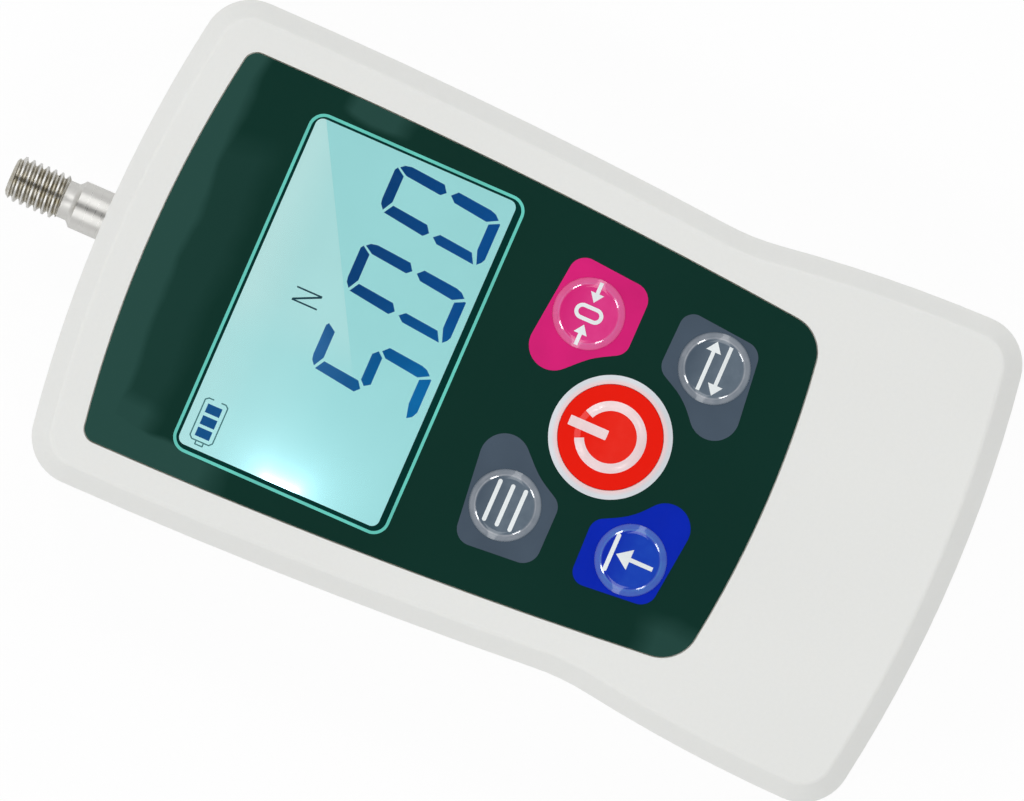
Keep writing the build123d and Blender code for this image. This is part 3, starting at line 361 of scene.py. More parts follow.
def belt(rollers: Sequence[Roller], step: float = 5.0) -> Outline:
    """The closed line of a belt that goes anticlockwise round rollers.

    Args:
        rollers: The rollers in the order that the belt meets them.
        step: The angle between the points of an arc, in degrees.

    Returns:
        The belt's points.
    """
    leaving = []
    for here, there in zip(rollers, [*rollers[1:], rollers[0]]):
        across = Vector((there.x - here.x, there.y - here.y))
        lean = max(-1.0, min(1.0, (here.signed - there.signed) / across.length))
        leaving.append(math.atan2(across.y, across.x) - math.pi / 2 + math.asin(lean))
    points = []
    for roller, start, end in zip(rollers, [leaving[-1], *leaving[:-1]], leaving):
        turn = (end - start) % (2 * math.pi)
        if roller.hollow:
            turn -= 2 * math.pi if turn > STRAIGHT else 0
        count = max(1, round(abs(math.degrees(turn)) / step))
        for index in range(count + 1):
            angle = start + turn * index / count
            points.append(
                (roller.x + roller.signed * math.cos(angle), roller.y + roller.signed * math.sin(angle))
            )
    return points


def rounded_box(width: float, height: float, radius: float, centre: Point) -> Outline:
    """A rectangle with round corners.

    Args:
        width: Its width.
        height: Its height.
        radius: The radius of its corners.
        centre: Its middle.

    Returns:
        The points, anticlockwise.
    """
    x, y = width / 2 - radius, height / 2 - radius
    corners = ((x, -y), (x, y), (-x, y), (-x, -y))
    return belt([Roller(centre[0] + u, centre[1] + v, radius) for u, v in corners])


def ring_points(radius: float, centre: Point) -> Outline:
    """A circle as points.

    Args:
        radius: Its radius.
        centre: Its middle.

    Returns:
        The points, anticlockwise.
    """
    return [
        (
            centre[0] + radius * math.cos(2 * math.pi * index / CIRCLE_POINTS),
            centre[1] + radius * math.sin(2 * math.pi * index / CIRCLE_POINTS),
        )
        for index in range(CIRCLE_POINTS)
    ]


def stroke(start: Point, end: Point, width: float) -> Outline:
    """A straight stroke of a pen with round ends."""
    return belt([Roller(*start, width / 2), Roller(*end, width / 2)], step=20.0)


def arrow(tail: Point, tip: Point, width: float, head: float) -> Outline:
    """A straight arrow.

    Args:
        tail: The middle of its tail.
        tip: Its tip.
        width: The width of its shaft.
        head: The length of its head.

    Returns:
        The seven corners.
    """
    start, end = Vector(tail), Vector(tip)
    along = (end - start).normalized()
    aside = Vector((-along.y, along.x))
    neck = end - along * head
    half, wing = aside * width / 2, aside * head * ARROW_WING
    corners = (start - half, neck - half, neck - wing, end, neck + wing, neck + half, start + half)
    return [(corner.x, corner.y) for corner in corners]


def box(low: Point, high: Point) -> Outline:
    """A rectangle between two corners."""
    return [low, (high[0], low[1]), high, (low[0], high[1])]


def on_grid(outline: Outline) -> Outline:
    """An outline drawn on the grid about the display's middle, in millimetres of the case."""
    return [(DISPLAY_CENTRE[0] + u * GRID, DISPLAY_CENTRE[1] + v * GRID) for u, v in outline]


def moved(outline: Outline, x: float, y: float) -> Outline:
    """An outline moved by x and y."""
    return [(u + x, v + y) for u, v in outline]


def flat(name: str, outlines: Iterable[Outline], z: float, thickness: float) -> Piece:
    """A flat piece of one thickness inside closed outlines.

    Args:
        name: The piece's name.
        outlines: The outlines. One inside another is a hole.
        z: The height of its underside.
        thickness: Its thickness.

    Returns:
        The closed piece.
    """
    curve = bpy.data.curves.new(name, "CURVE")
    curve.dimensions = "2D"
    curve.fill_mode = "BOTH"
    curve.extrude = thickness / 2 * MM
    for outline in outlines:
        spline = curve.splines.new("POLY")
        spline.points.add(len(outline) - 1)
        for point, (x, y) in zip(spline.points, outline):
            point.co = (x * MM, y * MM, 0, 1)
        spline.use_cyclic_u = True
    piece = bpy.data.objects.new(name, curve)
    bpy.context.collection.objects.link(piece)
    only(piece)
    bpy.ops.object.convert(target="MESH")
    piece = named(name)
    piece.location.z = (z + thickness / 2) * MM
    settle(piece)
    tidy_mesh(piece)
    return piece


def laid_on(name: str, outlines: Iterable[Outline], carrier: Piece, depth: float) -> Piece:
    """A skin on top of a curved carrier, inside closed outlines.

    Args:
        name: The piece's name.
        outlines: The outlines.
        carrier: The solid that it lies on.
        depth: Its height over the carrier.

    Returns:
        The closed skin.
    """
    skin = flat(name, outlines, carrier.bound_box[0][2] / MM, SKIN_BLOCK)
    cut(skin, copied(carrier, "over", Vector((0, 0, depth * MM))), "INTERSECT")
    cut(skin, copied(carrier, "under", Vector((0, 0, SKIN_GAP * depth * MM))))
    tidy_mesh(skin)
    return smooth(skin)


# ---- Finishes ----
class Sheet:
    """A material's nodes, with short ways to add them and to join them."""

    def __init__(self, name: str) -> None:
        """Starts a material with one Principled shader.

        Args:
            name: The material's name.
        """
        self.material = bpy.data.materials.new(name)
        self.material.use_nodes = True
        self.nodes = self.material.node_tree.nodes
        self.links = self.material.node_tree.links
        self.shader = self.nodes["Principled BSDF"]
        self.output = self.nodes["Material Output"]
        self.place = self.nodes.new("ShaderNodeTexCoord").outputs["Object"]

    def add(self, kind: str, **inputs: object) -> bpy.types.Node:
        """Adds a node.

        Args:
            kind: The node's type, without ShaderNode.
            inputs: Values or sockets by the name of the input, with _ for a space.

        Returns:
            The node.
        """
        node = self.nodes.new("ShaderNode" + kind)
        for name, value in inputs.items():
            self.give(node.inputs[name.replace("_", " ")], value)
        return node

    def give(self, socket: Socket, value: object) -> None:
        """Sets a socket to a value, or joins another socket to it.

        Args:
            socket: The socket.
            value: A number, a colour, a vector or a socket.
        """
        if isinstance(value, Socket):
            self.links.new(value, socket)
        else:
            socket.default_value = (*value, 1.0) if socket.type == "RGBA" and len(value) == 3 else value

    def maths(self, operation: str, *values: object) -> Socket:
        """The result of an operation on one, two or three values or sockets.

        Args:
            operation: The operation, in Blender's word for it.
            values: The values or sockets, in order.

        Returns:
            The result.
        """
        node = self.nodes.new("ShaderNodeMath")
        node.operation = operation
        for socket, value in zip(node.inputs, values):
            self.give(socket, value)
        return node.outputs[0]

    def plus(self, first: object, second: object) -> Socket:
        """The sum of two values."""
        return self.maths("ADD", first, second)

    def minus(self, first: object, second: object) -> Socket:
        """A value less another."""
        return self.maths("SUBTRACT", first, second)

    def times(self, first: object, second: object) -> Socket:
        """The product of two values."""
        return self.maths("MULTIPLY", first, second)

    def parts(self) -> tuple[Socket, Socket, Socket]:
        """The x, y and z of the place on the piece, in metres."""
        return tuple(self.add("SeparateXYZ", Vector=self.place).outputs)

    def length(self, *gaps: Socket) -> Socket:
        """The length of two gaps that stand square to each other."""
        return self.maths("SQRT", self.plus(*(self.times(gap, gap) for gap in gaps)))

    def reach(self, centre: Point, sides: tuple[int, int] = (0, 1)) -> Socket:
        """The distance, in metres, from an axis whose place on two sides is given.

        Args:
            centre: Where the axis crosses the two sides, in millimetres.
            sides: The two sides, as the numbers of their axes.

        Returns:
            The distance.
        """
        parts = self.parts()
        return self.length(
            *(self.minus(parts[side], middle * MM) for side, middle in zip(sides, centre))
        )

    def stretched(self, scale: Sequence[float]) -> Socket:
        """The place on the piece with each axis scaled."""
        return self.add("Mapping", Vector=self.place, Scale=scale).outputs[0]

    def noise(self, size: float, detail: float = 3.0, place: Socket | None = None) -> Socket:
        """Noise whose features have a size.

        Args:
            size: The size of a feature.
            detail: The number of finer layers.
            place: The place, or None for the place on the piece.

        Returns:
            A value about 0.5.
        """
        node = self.add("TexNoise", Vector=place or self.place, Scale=1 / (size * MM), Detail=detail)
        return node.outputs["Fac"]

    def between(self, value: object, low: float, high: float, start: float = 0.0, end: float = 1.0) -> Socket:
        """A value carried from one range to another, and held inside it."""
        node = self.add("MapRange", Value=value, From_Min=low, From_Max=high, To_Min=start, To_Max=end)
        return node.outputs["Result"]

    def along(self, value: object, low: float, high: float, start: float = 0.0, end: float = 1.0) -> Socket:
        """A place in metres carried from a range in millimetres to another range."""
        return self.between(value, low * MM, high * MM, start, end)

    def spread(self, noise: Socket, start: float = 0.0, end: float = 1.0) -> Socket:
        """A noise carried to a range that it then fills."""
        return self.between(noise, *NOISE_RANGE, start, end)

    def clouded(self, colour: Colour, noise: Socket, low: float, high: float) -> Socket:
        """A colour that wanders, as a noise does, between two shares of itself."""
        dark, bright = (tuple(min(1.0, part * share) for part in colour) for share in (low, high))
        return self.mixed(self.spread(noise), dark, bright)

    def mixed(self, share: object, first: object, second: object) -> Socket:
        """Two colours mixed by a share.

        Args:
            share: The share of the second colour.
            first: The first colour.
            second: The second colour.

        Returns:
            The mixed colour.
        """
        node = self.nodes.new("ShaderNodeMix")
        node.data_type = "RGBA"
        self.give(node.inputs[0], share)
        self.give(node.inputs[6], first)
        self.give(node.inputs[7], second)
        return node.outputs[2]

    def scaled(self, colour: Colour, share: object) -> Socket:
        """A colour made brighter or darker by a share.

        Args:
            colour: The colour.
            share: The share.

        Returns:
            The colour times the share.
        """
        node = self.add("VectorMath", Vector=colour)
        node.operation = "SCALE"
        self.give(node.inputs["Scale"], share)
        return node.outputs[0]

    def sum(self, *colours: Socket) -> Socket:
        """The sum of colours.

        Args:
            colours: The colours.

        Returns:
            Their sum.
        """
        total = colours[0]
        for colour in colours[1:]:
            node = self.nodes.new("ShaderNodeVectorMath")
            self.give(node.inputs[0], total)
            self.give(node.inputs[1], colour)
            total = node.outputs[0]
        return total

    def bump(self, height: Socket, distance: float, under: Socket | None = None) -> Socket:
        """The normal of a surface that stands up by a height times a distance.

        Args:
            height: The height, from 0 to 1.
            distance: How far a height of 1 stands up.
            under: The normal of a coarser bump below it.

        Returns:
            The normal.
        """
        node = self.add("Bump", Height=height, Distance=distance * MM)
        if under:
            self.give(node.inputs["Normal"], under)
        return node.outputs[0]

    def set(self, **inputs: object) -> None:
        """Sets inputs of the shader, with _ for a space in a name."""
        for name, value in inputs.items():
            self.give(self.shader.inputs[name.replace("_", " ")], value)


class Grain(Enum):
    """How the texture of a finish runs, as the scale of its noise along x, y and z."""

    EVEN = (1.0, 1.0, 1.0)
    ALONG_X = (0.03, 1.0, 1.0)
    ALONG_Y = (1.0, 0.03, 1.0)
    ALONG_Z = (1.0, 1.0, 0.03)
    ROUND_Y = (0.02, 1.0, 0.02)
    ROUND_Z = (0.02, 0.02, 1.0)


@dataclass(frozen=True)
class Surface:
    """A plain finish: a colour that wanders a little, a grain, and a gloss that the grain breaks up."""

    name: str
    colour: Colour
    wander: float = 0.04
    patch: float = 8.0
    grain: Grain = Grain.EVEN
    grain_size: float = 0.3
    grain_depth: float = 0.004
    gloss: Span = (0.35, 0.5)
    metal: float = 0.0
    coat: float = 0.0

    def make(self) -> Material:
        """Makes the material."""
        sheet = Sheet(self.name)
        grain = sheet.noise(self.grain_size, place=sheet.stretched(self.grain.value))
        sheet.set(
            Base_Color=sheet.clouded(self.colour, sheet.noise(self.patch), 1 - self.wander, 1 + self.wander),
            Metallic=self.metal,
            Roughness=sheet.spread(grain, *self.gloss),
            Coat_Weight=self.coat,
            Coat_Roughness=0.08,
            Normal=sheet.bump(grain, self.grain_depth),
        )
        return sheet.material


@dataclass(frozen=True)
class MouldedPlastic:
    """Pale moulded plastic with a fine even sparkle and slight flow marks."""

    name: str = "case_plastic"
    colour: Colour = (0.782, 0.784, 0.762)
    flow_size: float = 26.0
    flow_shade: Span = (0.985, 1.01)
    flow_depth: float = 0.02
    speckle_size: float = 0.5
    speckle_shade: Span = (-0.006, 0.006)
    gloss: Span = (0.42, 0.5)
    spark_size: float = 0.22
    spark_depth: float = 0.006

    def make(self) -> Material:
        """Makes the material."""
        sheet = Sheet(self.name)
        flow = sheet.noise(self.flow_size, 2.0, sheet.stretched((1.0, 0.45, 1.0)))
        speckle, spark = sheet.noise(self.speckle_size, 2.0), sheet.noise(self.spark_size, 2.0)
        flow_shade = sheet.spread(flow, *self.flow_shade)
        speckle_shade = sheet.spread(speckle, *self.speckle_shade)
        sheet.set(
            Base_Color=sheet.scaled(self.colour, sheet.plus(flow_shade, speckle_shade)),
            Roughness=sheet.spread(speckle, *self.gloss),
            IOR=1.46,
            Subsurface_Weight=0.04,
            Subsurface_Radius=(0.6, 0.5, 0.4),
            Subsurface_Scale=MM,
            Normal=sheet.bump(spark, self.spark_depth, under=sheet.bump(flow, self.flow_depth)),
        )
        return sheet.material


@dataclass(frozen=True)
class OverlayFilm:
    """Glossy dark film, slightly rippled, with a painted reflection of the surroundings in lighter patches
    towards its edges, and a pale cut edge that is partly a painted highlight.
    """

    name: str = "overlay_film"
    colour: Colour = (0.0052, 0.0325, 0.0235)
    # The lighter colour of the painted reflection, in patches near the film's edges.
    reflection_tint: Colour = (0.021, 0.070, 0.0575)
    # The cut edge's pale cream, made paler than the edge itself so that it also stands for a highlight along
    # it: partly the edge's own colour, partly a painted highlight.
    edge_and_highlight_colour: Colour = (0.9, 0.88, 0.74)
    edge_z: float = 36.08
    wobble_size: float = 11.0
    wobble_width: float = 4.0
    ripple_size: float = 19.0
    ripple_depth: float = 0.1
    gloss: Span = (0.06, 0.12)

    def painted_reflections(self, sheet: Sheet) -> Socket:
        """How far the film is painted lighter, from 0 to 1, in patches near its edges, as a painted
        reflection of the surroundings.

        Args:
            sheet: The material's nodes.

        Returns:
            The share of the painted reflection's colour.
        """
        x, y, _ = sheet.parts()
        drift = sheet.minus(sheet.noise(self.wobble_size, 2.0), 0.5)
        wobble = sheet.times(drift, self.wobble_width * MM)
        u, v = sheet.plus(x, wobble), sheet.minus(y, wobble)
        # Each patch of painted reflection has its strength, and the bands across which it fades in.
        patches = (
            (1.0, (v, 46.4, 47.8)),
            (1.0, (u, -22.5, -23.1), (v, 30.0, 34.0)),
            (0.9, (u, -18.0, -21.0), (v, 41.0, 44.0)),
            (0.32, (v, 41.0, 43.5), (u, 17.5, 14.0)),
            (0.9, (u, 24.1, 24.9), (v, 26.0, 28.5), (v, 36.5, 34.5)),
            (0.8, (u, -17.5, -20.0), (v, -24.0, -27.0)),
        )
        whole: object = 0.0
        for strength, *bands in patches:
            patch: object = strength
            for band in bands:
                patch = sheet.times(patch, sheet.along(*band))
            whole = sheet.maths("MAXIMUM", whole, patch)
        return whole

    def make(self) -> Material:
        """Makes the material."""
        sheet = Sheet(self.name)
        face = sheet.clouded(self.colour, sheet.noise(30.0), 0.94, 1.06)
        # The film's side faces, below its top, take the pale edge colour, which is partly a painted
        # highlight.
        edge = sheet.maths("LESS_THAN", sheet.parts()[2], self.edge_z * MM)
        fine = sheet.noise(0.9, 2.0)
        rippled = sheet.bump(sheet.noise(self.ripple_size, 1.0), self.ripple_depth)
        sheet.set(
            Base_Color=sheet.mixed(edge, sheet.mixed(self.painted_reflections(sheet), face, self.reflection_tint), self.edge_and_highlight_colour),
            Roughness=sheet.spread(fine, *self.gloss),
            IOR=1.5,
            Normal=sheet.bump(fine, 0.0006, under=rippled),
        )
        return sheet.material


@dataclass(frozen=True)
class Ink:
    """Printing on the front, glossy as the film over it, which may blush towards a point."""

    name: str
    colour: Colour
    gloss: float = 0.12
    blush: Colour | None = None
    centre: Point = (0.0, 0.0)
    span: Span = (0.0, 0.0)

    def make(self) -> Material:
        """Makes the material."""
        sheet = Sheet(self.name)
        speck, cloud = sheet.noise(0.35), sheet.noise(7.0, 2.0)
        colour = sheet.clouded(self.colour, cloud, 0.9, 1.06)
        if self.blush:
            colour = sheet.mixed(sheet.along(sheet.reach(self.centre), *self.span), self.blush, colour)
        sheet.set(
            Base_Color=colour,
            Roughness=sheet.spread(speck, self.gloss * 0.7, self.gloss * 1.5),
            IOR=1.48,
            Normal=sheet.bump(speck, 0.0008, under=sheet.bump(cloud, 0.01)),
        )
        return sheet.material


@dataclass(frozen=True)
class FilmColours:
    """The colours of a key's film: flat, paler towards its dome's lower side as a painted reflection, and the
    painted highlight in broken rings round the dome's crown.
    """

    film: str
    flat: Colour
    pale: Colour
    rim_highlight: Colour | None = None


@dataclass(frozen=True)
class EmbossedFilm:
    """The film of a key, embossed in a dome, with a painted reflection that makes it paler towards the dome's
    lower side, painted highlight rings round its crown, and a soft edge to its crown.
    """

    name: str
    colours: FilmColours
    centre: Point
    crown: float = 3.8
    foot: float = 4.6
    foot_edge: float = 0.1
    edge: float = 0.45
    edge_slope: float = 0.26
    # The heights over the dome's middle across which the painted reflection grows from faint to full.
    bowl: Span = (3.4, -0.6)
    # Thin rings of painted highlight round the crown, broken into arcs by a noise; only on a film with a
    # highlight colour.
    rings: tuple[Triple, ...] = ((0.38, 0.42, 0.5), (0.05, 0.14, 0.8))  # beyond the crown, width, strength

    def make(self) -> Material:
        """Makes the material."""
        sheet = Sheet(self.name)
        above = sheet.minus(sheet.parts()[1], self.centre[1] * MM)
        reach, smudge = sheet.reach(self.centre), sheet.noise(1.3)
        inside = sheet.along(reach, self.foot, self.foot - self.foot_edge)
        # Painted reflection: towards its lower side, inside its foot, the dome is mixed towards its pale
        # colour, broken up by a smudge.
        bowl = sheet.times(sheet.along(above, *self.bowl, 0.1, 1.0), inside)
        reflection_share = sheet.times(bowl, sheet.spread(smudge, 0.7, 1.0))
        colour = sheet.mixed(reflection_share, self.colours.flat, self.colours.pale)
        # Painted highlight: thin lighter rings round the crown, mixed towards the highlight colour.
        for beyond, width, strength in self.rings if self.colours.rim_highlight else ():
            gap = self.off_circle(sheet, reach, self.crown + beyond)
            broken = sheet.between(sheet.noise(1.8, 2.0), 0.35, 0.6, 0.5 * strength, strength)
            line = sheet.times(sheet.along(gap, width, 0.35 * width), broken)
            colour = sheet.mixed(line, colour, self.colours.rim_highlight)
        near = sheet.along(self.off_circle(sheet, reach, self.crown), self.edge, 0.0)
        crowned = sheet.minus(1.0, sheet.maths("POWER", near, 2.0))
        rounded = sheet.bump(crowned, self.edge_slope * self.edge / 2)
        sheet.set(
            Base_Color=colour,
            Roughness=sheet.spread(smudge, 0.06, 0.14),
            IOR=1.5,
            Coat_Weight=1.0,
            Coat_Roughness=0.03,
            Coat_Normal=rounded,
            Normal=sheet.bump(smudge, 0.004, under=rounded),
        )
        return sheet.material

    @staticmethod
    def off_circle(sheet: Sheet, reach: Socket, radius: float) -> Socket:
        """How far, in metres, a place lies off a circle round the dome's middle."""
        return sheet.maths("ABSOLUTE", sheet.minus(reach, radius * MM))


@dataclass(frozen=True)
class LitGlass:
    """Liquid crystal glass lit from its left side by the lamp behind it, with a painted reflection of the
    surroundings on its upper part.
    """

    name: str = "lit_glass"
    colour: Colour = (0.322, 0.688, 0.692)
    glow: Colour = (0.78, 1.3, 1.5)
    lamp: Point = (-22.42, 24.4)
    half_length: float = 1.9
    core: float = 0.25
    fade: float = 0.029
    # The colour of the painted reflection, added to the glass's light on its upper part.
    glare: Colour = (0.085, 0.044, 0.036)
    glare_corner: Point = (-1.26, 24.12)
    glare_rise: float = 0.5665
    glare_width: float = 6.0
    glare_foot: Span = (22.0, 34.0)
    glare_top: Span = (33.0, 37.5)

    def painted_glare(self, sheet: Sheet) -> Socket:
        """How strong the painted reflection is on the glass: sharp above a slant on the right, soft on the
        left.

        Args:
            sheet: The material's nodes.

        Returns:
            How strong the painted reflection is.
        """
        x, y, _ = sheet.parts()
        corner_x, corner_y = self.glare_corner
        line = sheet.minus(y, sheet.times(x, self.glare_rise))
        hard = sheet.maths("GREATER_THAN", line, (corner_y - corner_x * self.glare_rise) * MM)
        soft = sheet.along(y, *self.glare_foot, 0.0, 0.6)
        right = sheet.along(x, corner_x - self.glare_width, corner_x)
        step = sheet.times(right, sheet.minus(hard, soft))
        return sheet.times(sheet.plus(soft, step), sheet.along(y, *self.glare_top, 1.0, 1.8))

    def lit(self, sheet: Sheet) -> Socket:
        """How bright the lamp's glow is, which falls off from its straight core.

        Args:
            sheet: The material's nodes.

        Returns:
            How strong the glow is.
        """
        x, y, _ = sheet.parts()
        across = sheet.minus(x, self.lamp[0] * MM)
        beside = sheet.maths("ABSOLUTE", sheet.minus(y, self.lamp[1] * MM))
        past_end = sheet.maths("MAXIMUM", sheet.minus(beside, self.half_length * MM), 0.0)
        reach = sheet.plus(sheet.length(across, past_end), self.core * MM)
        return sheet.maths("MAXIMUM", sheet.minus(sheet.maths("DIVIDE", MM, reach), self.fade), 0.0)

    def make(self) -> Material:
        """Makes the material."""
        sheet = Sheet(self.name)
        cloud = sheet.spread(sheet.noise(9.0, 2.0), 0.985, 1.015)
        # The glass's own colour, the backlight's glow, and a painted reflection, added up.
        layers = ((self.colour, cloud), (self.glow, self.lit(sheet)), (self.glare, self.painted_glare(sheet)))
        sheet.set(
            Base_Color=(0.02, 0.03, 0.03),
            Emission_Color=sheet.sum(*(sheet.scaled(*layer) for layer in layers)),
            Emission_Strength=1.0,
            Roughness=sheet.spread(sheet.noise(0.4), 0.04, 0.08),
            IOR=1.5,
        )
        return sheet.material


@dataclass(frozen=True)
class Segment:
    """A dark segment of the display, through which a little of the lamp's light still comes, with a painted
    reflection lightening it towards the display's upper left.
    """

    name: str = "segment_blue"
    top: Colour = (0.0005, 0.038, 0.15)
    foot: Colour = (0.0008, 0.068, 0.262)
    lit_foot: Colour = (0.001, 0.138, 0.385)
    # The lighter colour of the painted reflection, towards the display's upper left.
    painted_glare: Colour = (0.024, 0.131, 0.333)
    rise: Span = (13.0, 30.0)
    lit_x: Span = (6.0, -5.0)
    glare_x: Span = (2.0, -3.5)
    glare_y: Span = (19.5, 27.0)

    @classmethod
    def plain(cls, name: str, colour: Colour) -> "Segment":
        """A segment of one colour all over."""
        return cls(name, colour, colour, colour, colour)

    def make(self) -> Material:
        """Makes the material."""
        sheet = Sheet(self.name)
        x, y, _ = sheet.parts()
        cloud = sheet.minus(sheet.times(sheet.noise(2.5, 2.0), 0.25), 0.12)
        foot = sheet.mixed(sheet.along(x, *self.lit_x), self.foot, self.lit_foot)
        light = sheet.mixed(sheet.plus(sheet.along(y, *self.rise), cloud), foot, self.top)
        # Painted reflection: the segment is lighter towards the display's upper left, as the glass is.
        glare = sheet.times(sheet.along(x, *self.glare_x), sheet.along(y, *self.glare_y))
        sheet.set(
            Base_Color=(0.004, 0.01, 0.02),
            Emission_Color=sheet.mixed(glare, light, self.painted_glare),
            Emission_Strength=1.0,
            Specular_IOR_Level=0.1,
            Roughness=sheet.spread(sheet.noise(0.3), 0.1, 0.2),
        )
        return sheet.material


@dataclass(frozen=True)
class ClearAcrylic:
    """Clear polished acrylic with a few hairlines."""

    name: str = "clear_acrylic"
    tints: tuple[Colour, Colour] = ((0.985, 0.995, 0.992), (1.0, 1.0, 1.0))

    def make(self) -> Material:
        """Makes the material."""
        sheet = Sheet(self.name)
        hair = sheet.noise(1.2, 4.0, sheet.stretched((1.0, 0.08, 1.0)))
        sheet.set(
            Base_Color=sheet.mixed(sheet.spread(sheet.noise(20.0)), *self.tints),
            Transmission_Weight=1.0,
            Roughness=sheet.between(hair, 0.66, 0.72, 0.0, 0.02),
            IOR=1.49,
            Normal=sheet.bump(sheet.noise(24.0, 1.0), 0.006),
        )
        return sheet.material


@dataclass(frozen=True)
class TurnedSteel:
    """Stainless steel turned on a lathe, polished, with fine rings and a warm painted shade that darkens its
    thread's grooves.
    """

    name: str = "turned_steel"
    colour: Colour = (0.68, 0.67, 0.645)
    # The warm dark colour of the painted shade in the thread's grooves.
    groove_shade: Colour = (0.37, 0.335, 0.25)
    axis_z: float = 18.0
    thread_y: float = 64.6
    neck: Span = (62.7, 63.1)
    groove: Span = (2.97, 2.6)
    gloss: Span = (0.26, 0.36)
    neck_dulled: float = 0.14
    thread_polished: float = 0.17

    def make(self) -> Material:
        """Makes the material."""
        sheet = Sheet(self.name)
        y = sheet.parts()[1]
        rings = sheet.noise(0.12, 2.0, sheet.stretched((0.02, 1.0, 0.02)))
        threaded = sheet.maths("GREATER_THAN", y, self.thread_y * MM)
        groove = sheet.along(sheet.reach((0.0, self.axis_z), (0, 2)), *self.groove)
        patch = sheet.between(sheet.noise(1.0, 4.0), 0.35, 0.65, 0.35, 1.0)
        # Painted shade: deeper in the thread's grooves, in patches, the steel is mixed towards a warm dark
        # colour.
        groove_shade = sheet.times(sheet.times(groove, threaded), patch)
        dull = sheet.along(y, *self.neck, 0.0, self.neck_dulled)
        change = sheet.minus(dull, sheet.times(threaded, self.thread_polished))
        sheet.set(
            Base_Color=sheet.mixed(groove_shade, self.colour, self.groove_shade),
            Metallic=1.0,
            Roughness=sheet.plus(sheet.spread(rings, *self.gloss), change),
            Normal=sheet.bump(rings, 0.0005),
        )
        return sheet.material


@dataclass(frozen=True)
class SolderMask:
    """Green board with copper tracks under its mask."""

    name: str = "circuit_board"
    greens: tuple[Colour, Colour] = ((0.008, 0.10, 0.035), (0.014, 0.14, 0.05))
    track_green: Colour = (0.03, 0.24, 0.09)
    track_size: float = 2.4

    def make(self) -> Material:
        """Makes the material."""
        sheet = Sheet(self.name)
        place = sheet.stretched((1.0, 0.5, 1.0))
        cells = sheet.add("TexVoronoi", Vector=place, Scale=1 / (self.track_size * MM))
        cells.distance = "CHEBYCHEV"
        tracks = sheet.between(cells.outputs["Distance"], 0.42, 0.46)
        green = sheet.mixed(sheet.spread(sheet.noise(12.0)), *self.greens)
        sheet.set(
            Base_Color=sheet.mixed(tracks, green, self.track_green),
            Roughness=sheet.spread(sheet.noise(0.5), 0.25, 0.4),
            Normal=sheet.bump(tracks, 0.02),
        )
        return sheet.material


# Each key's film: its name, its flat colour, the pale colour of its painted reflection, and the colour of its
# painted highlight rings.
GREY = FilmColours("grey_key_film", (0.068, 0.095, 0.13), (0.138, 0.178, 0.222), (0.31, 0.33, 0.37))
MAGENTA = FilmColours("magenta_key_film", (0.68, 0.017, 0.185), (0.775, 0.052, 0.262), (0.68, 0.10, 0.33))
BLUE = FilmColours("blue_key_film", (0.003, 0.02, 0.42), (0.012, 0.064, 0.49), (0.02, 0.16, 0.52))
RED = FilmColours("red_key_film", (0.86, 0.012, 0.004), (0.88, 0.028, 0.016))
WHITE: Colour = (0.80, 0.84, 0.85)
PALE: Colour = (0.69, 0.72, 0.76)
RIM_BLUSH: Colour = (0.88, 0.60, 0.60)
SIGN_BLUSH: Colour = (0.89, 0.69, 0.70)
TURQUOISE: Colour = (0.14, 0.60, 0.51)
BORDER: Colour = (0.001, 0.031, 0.026)

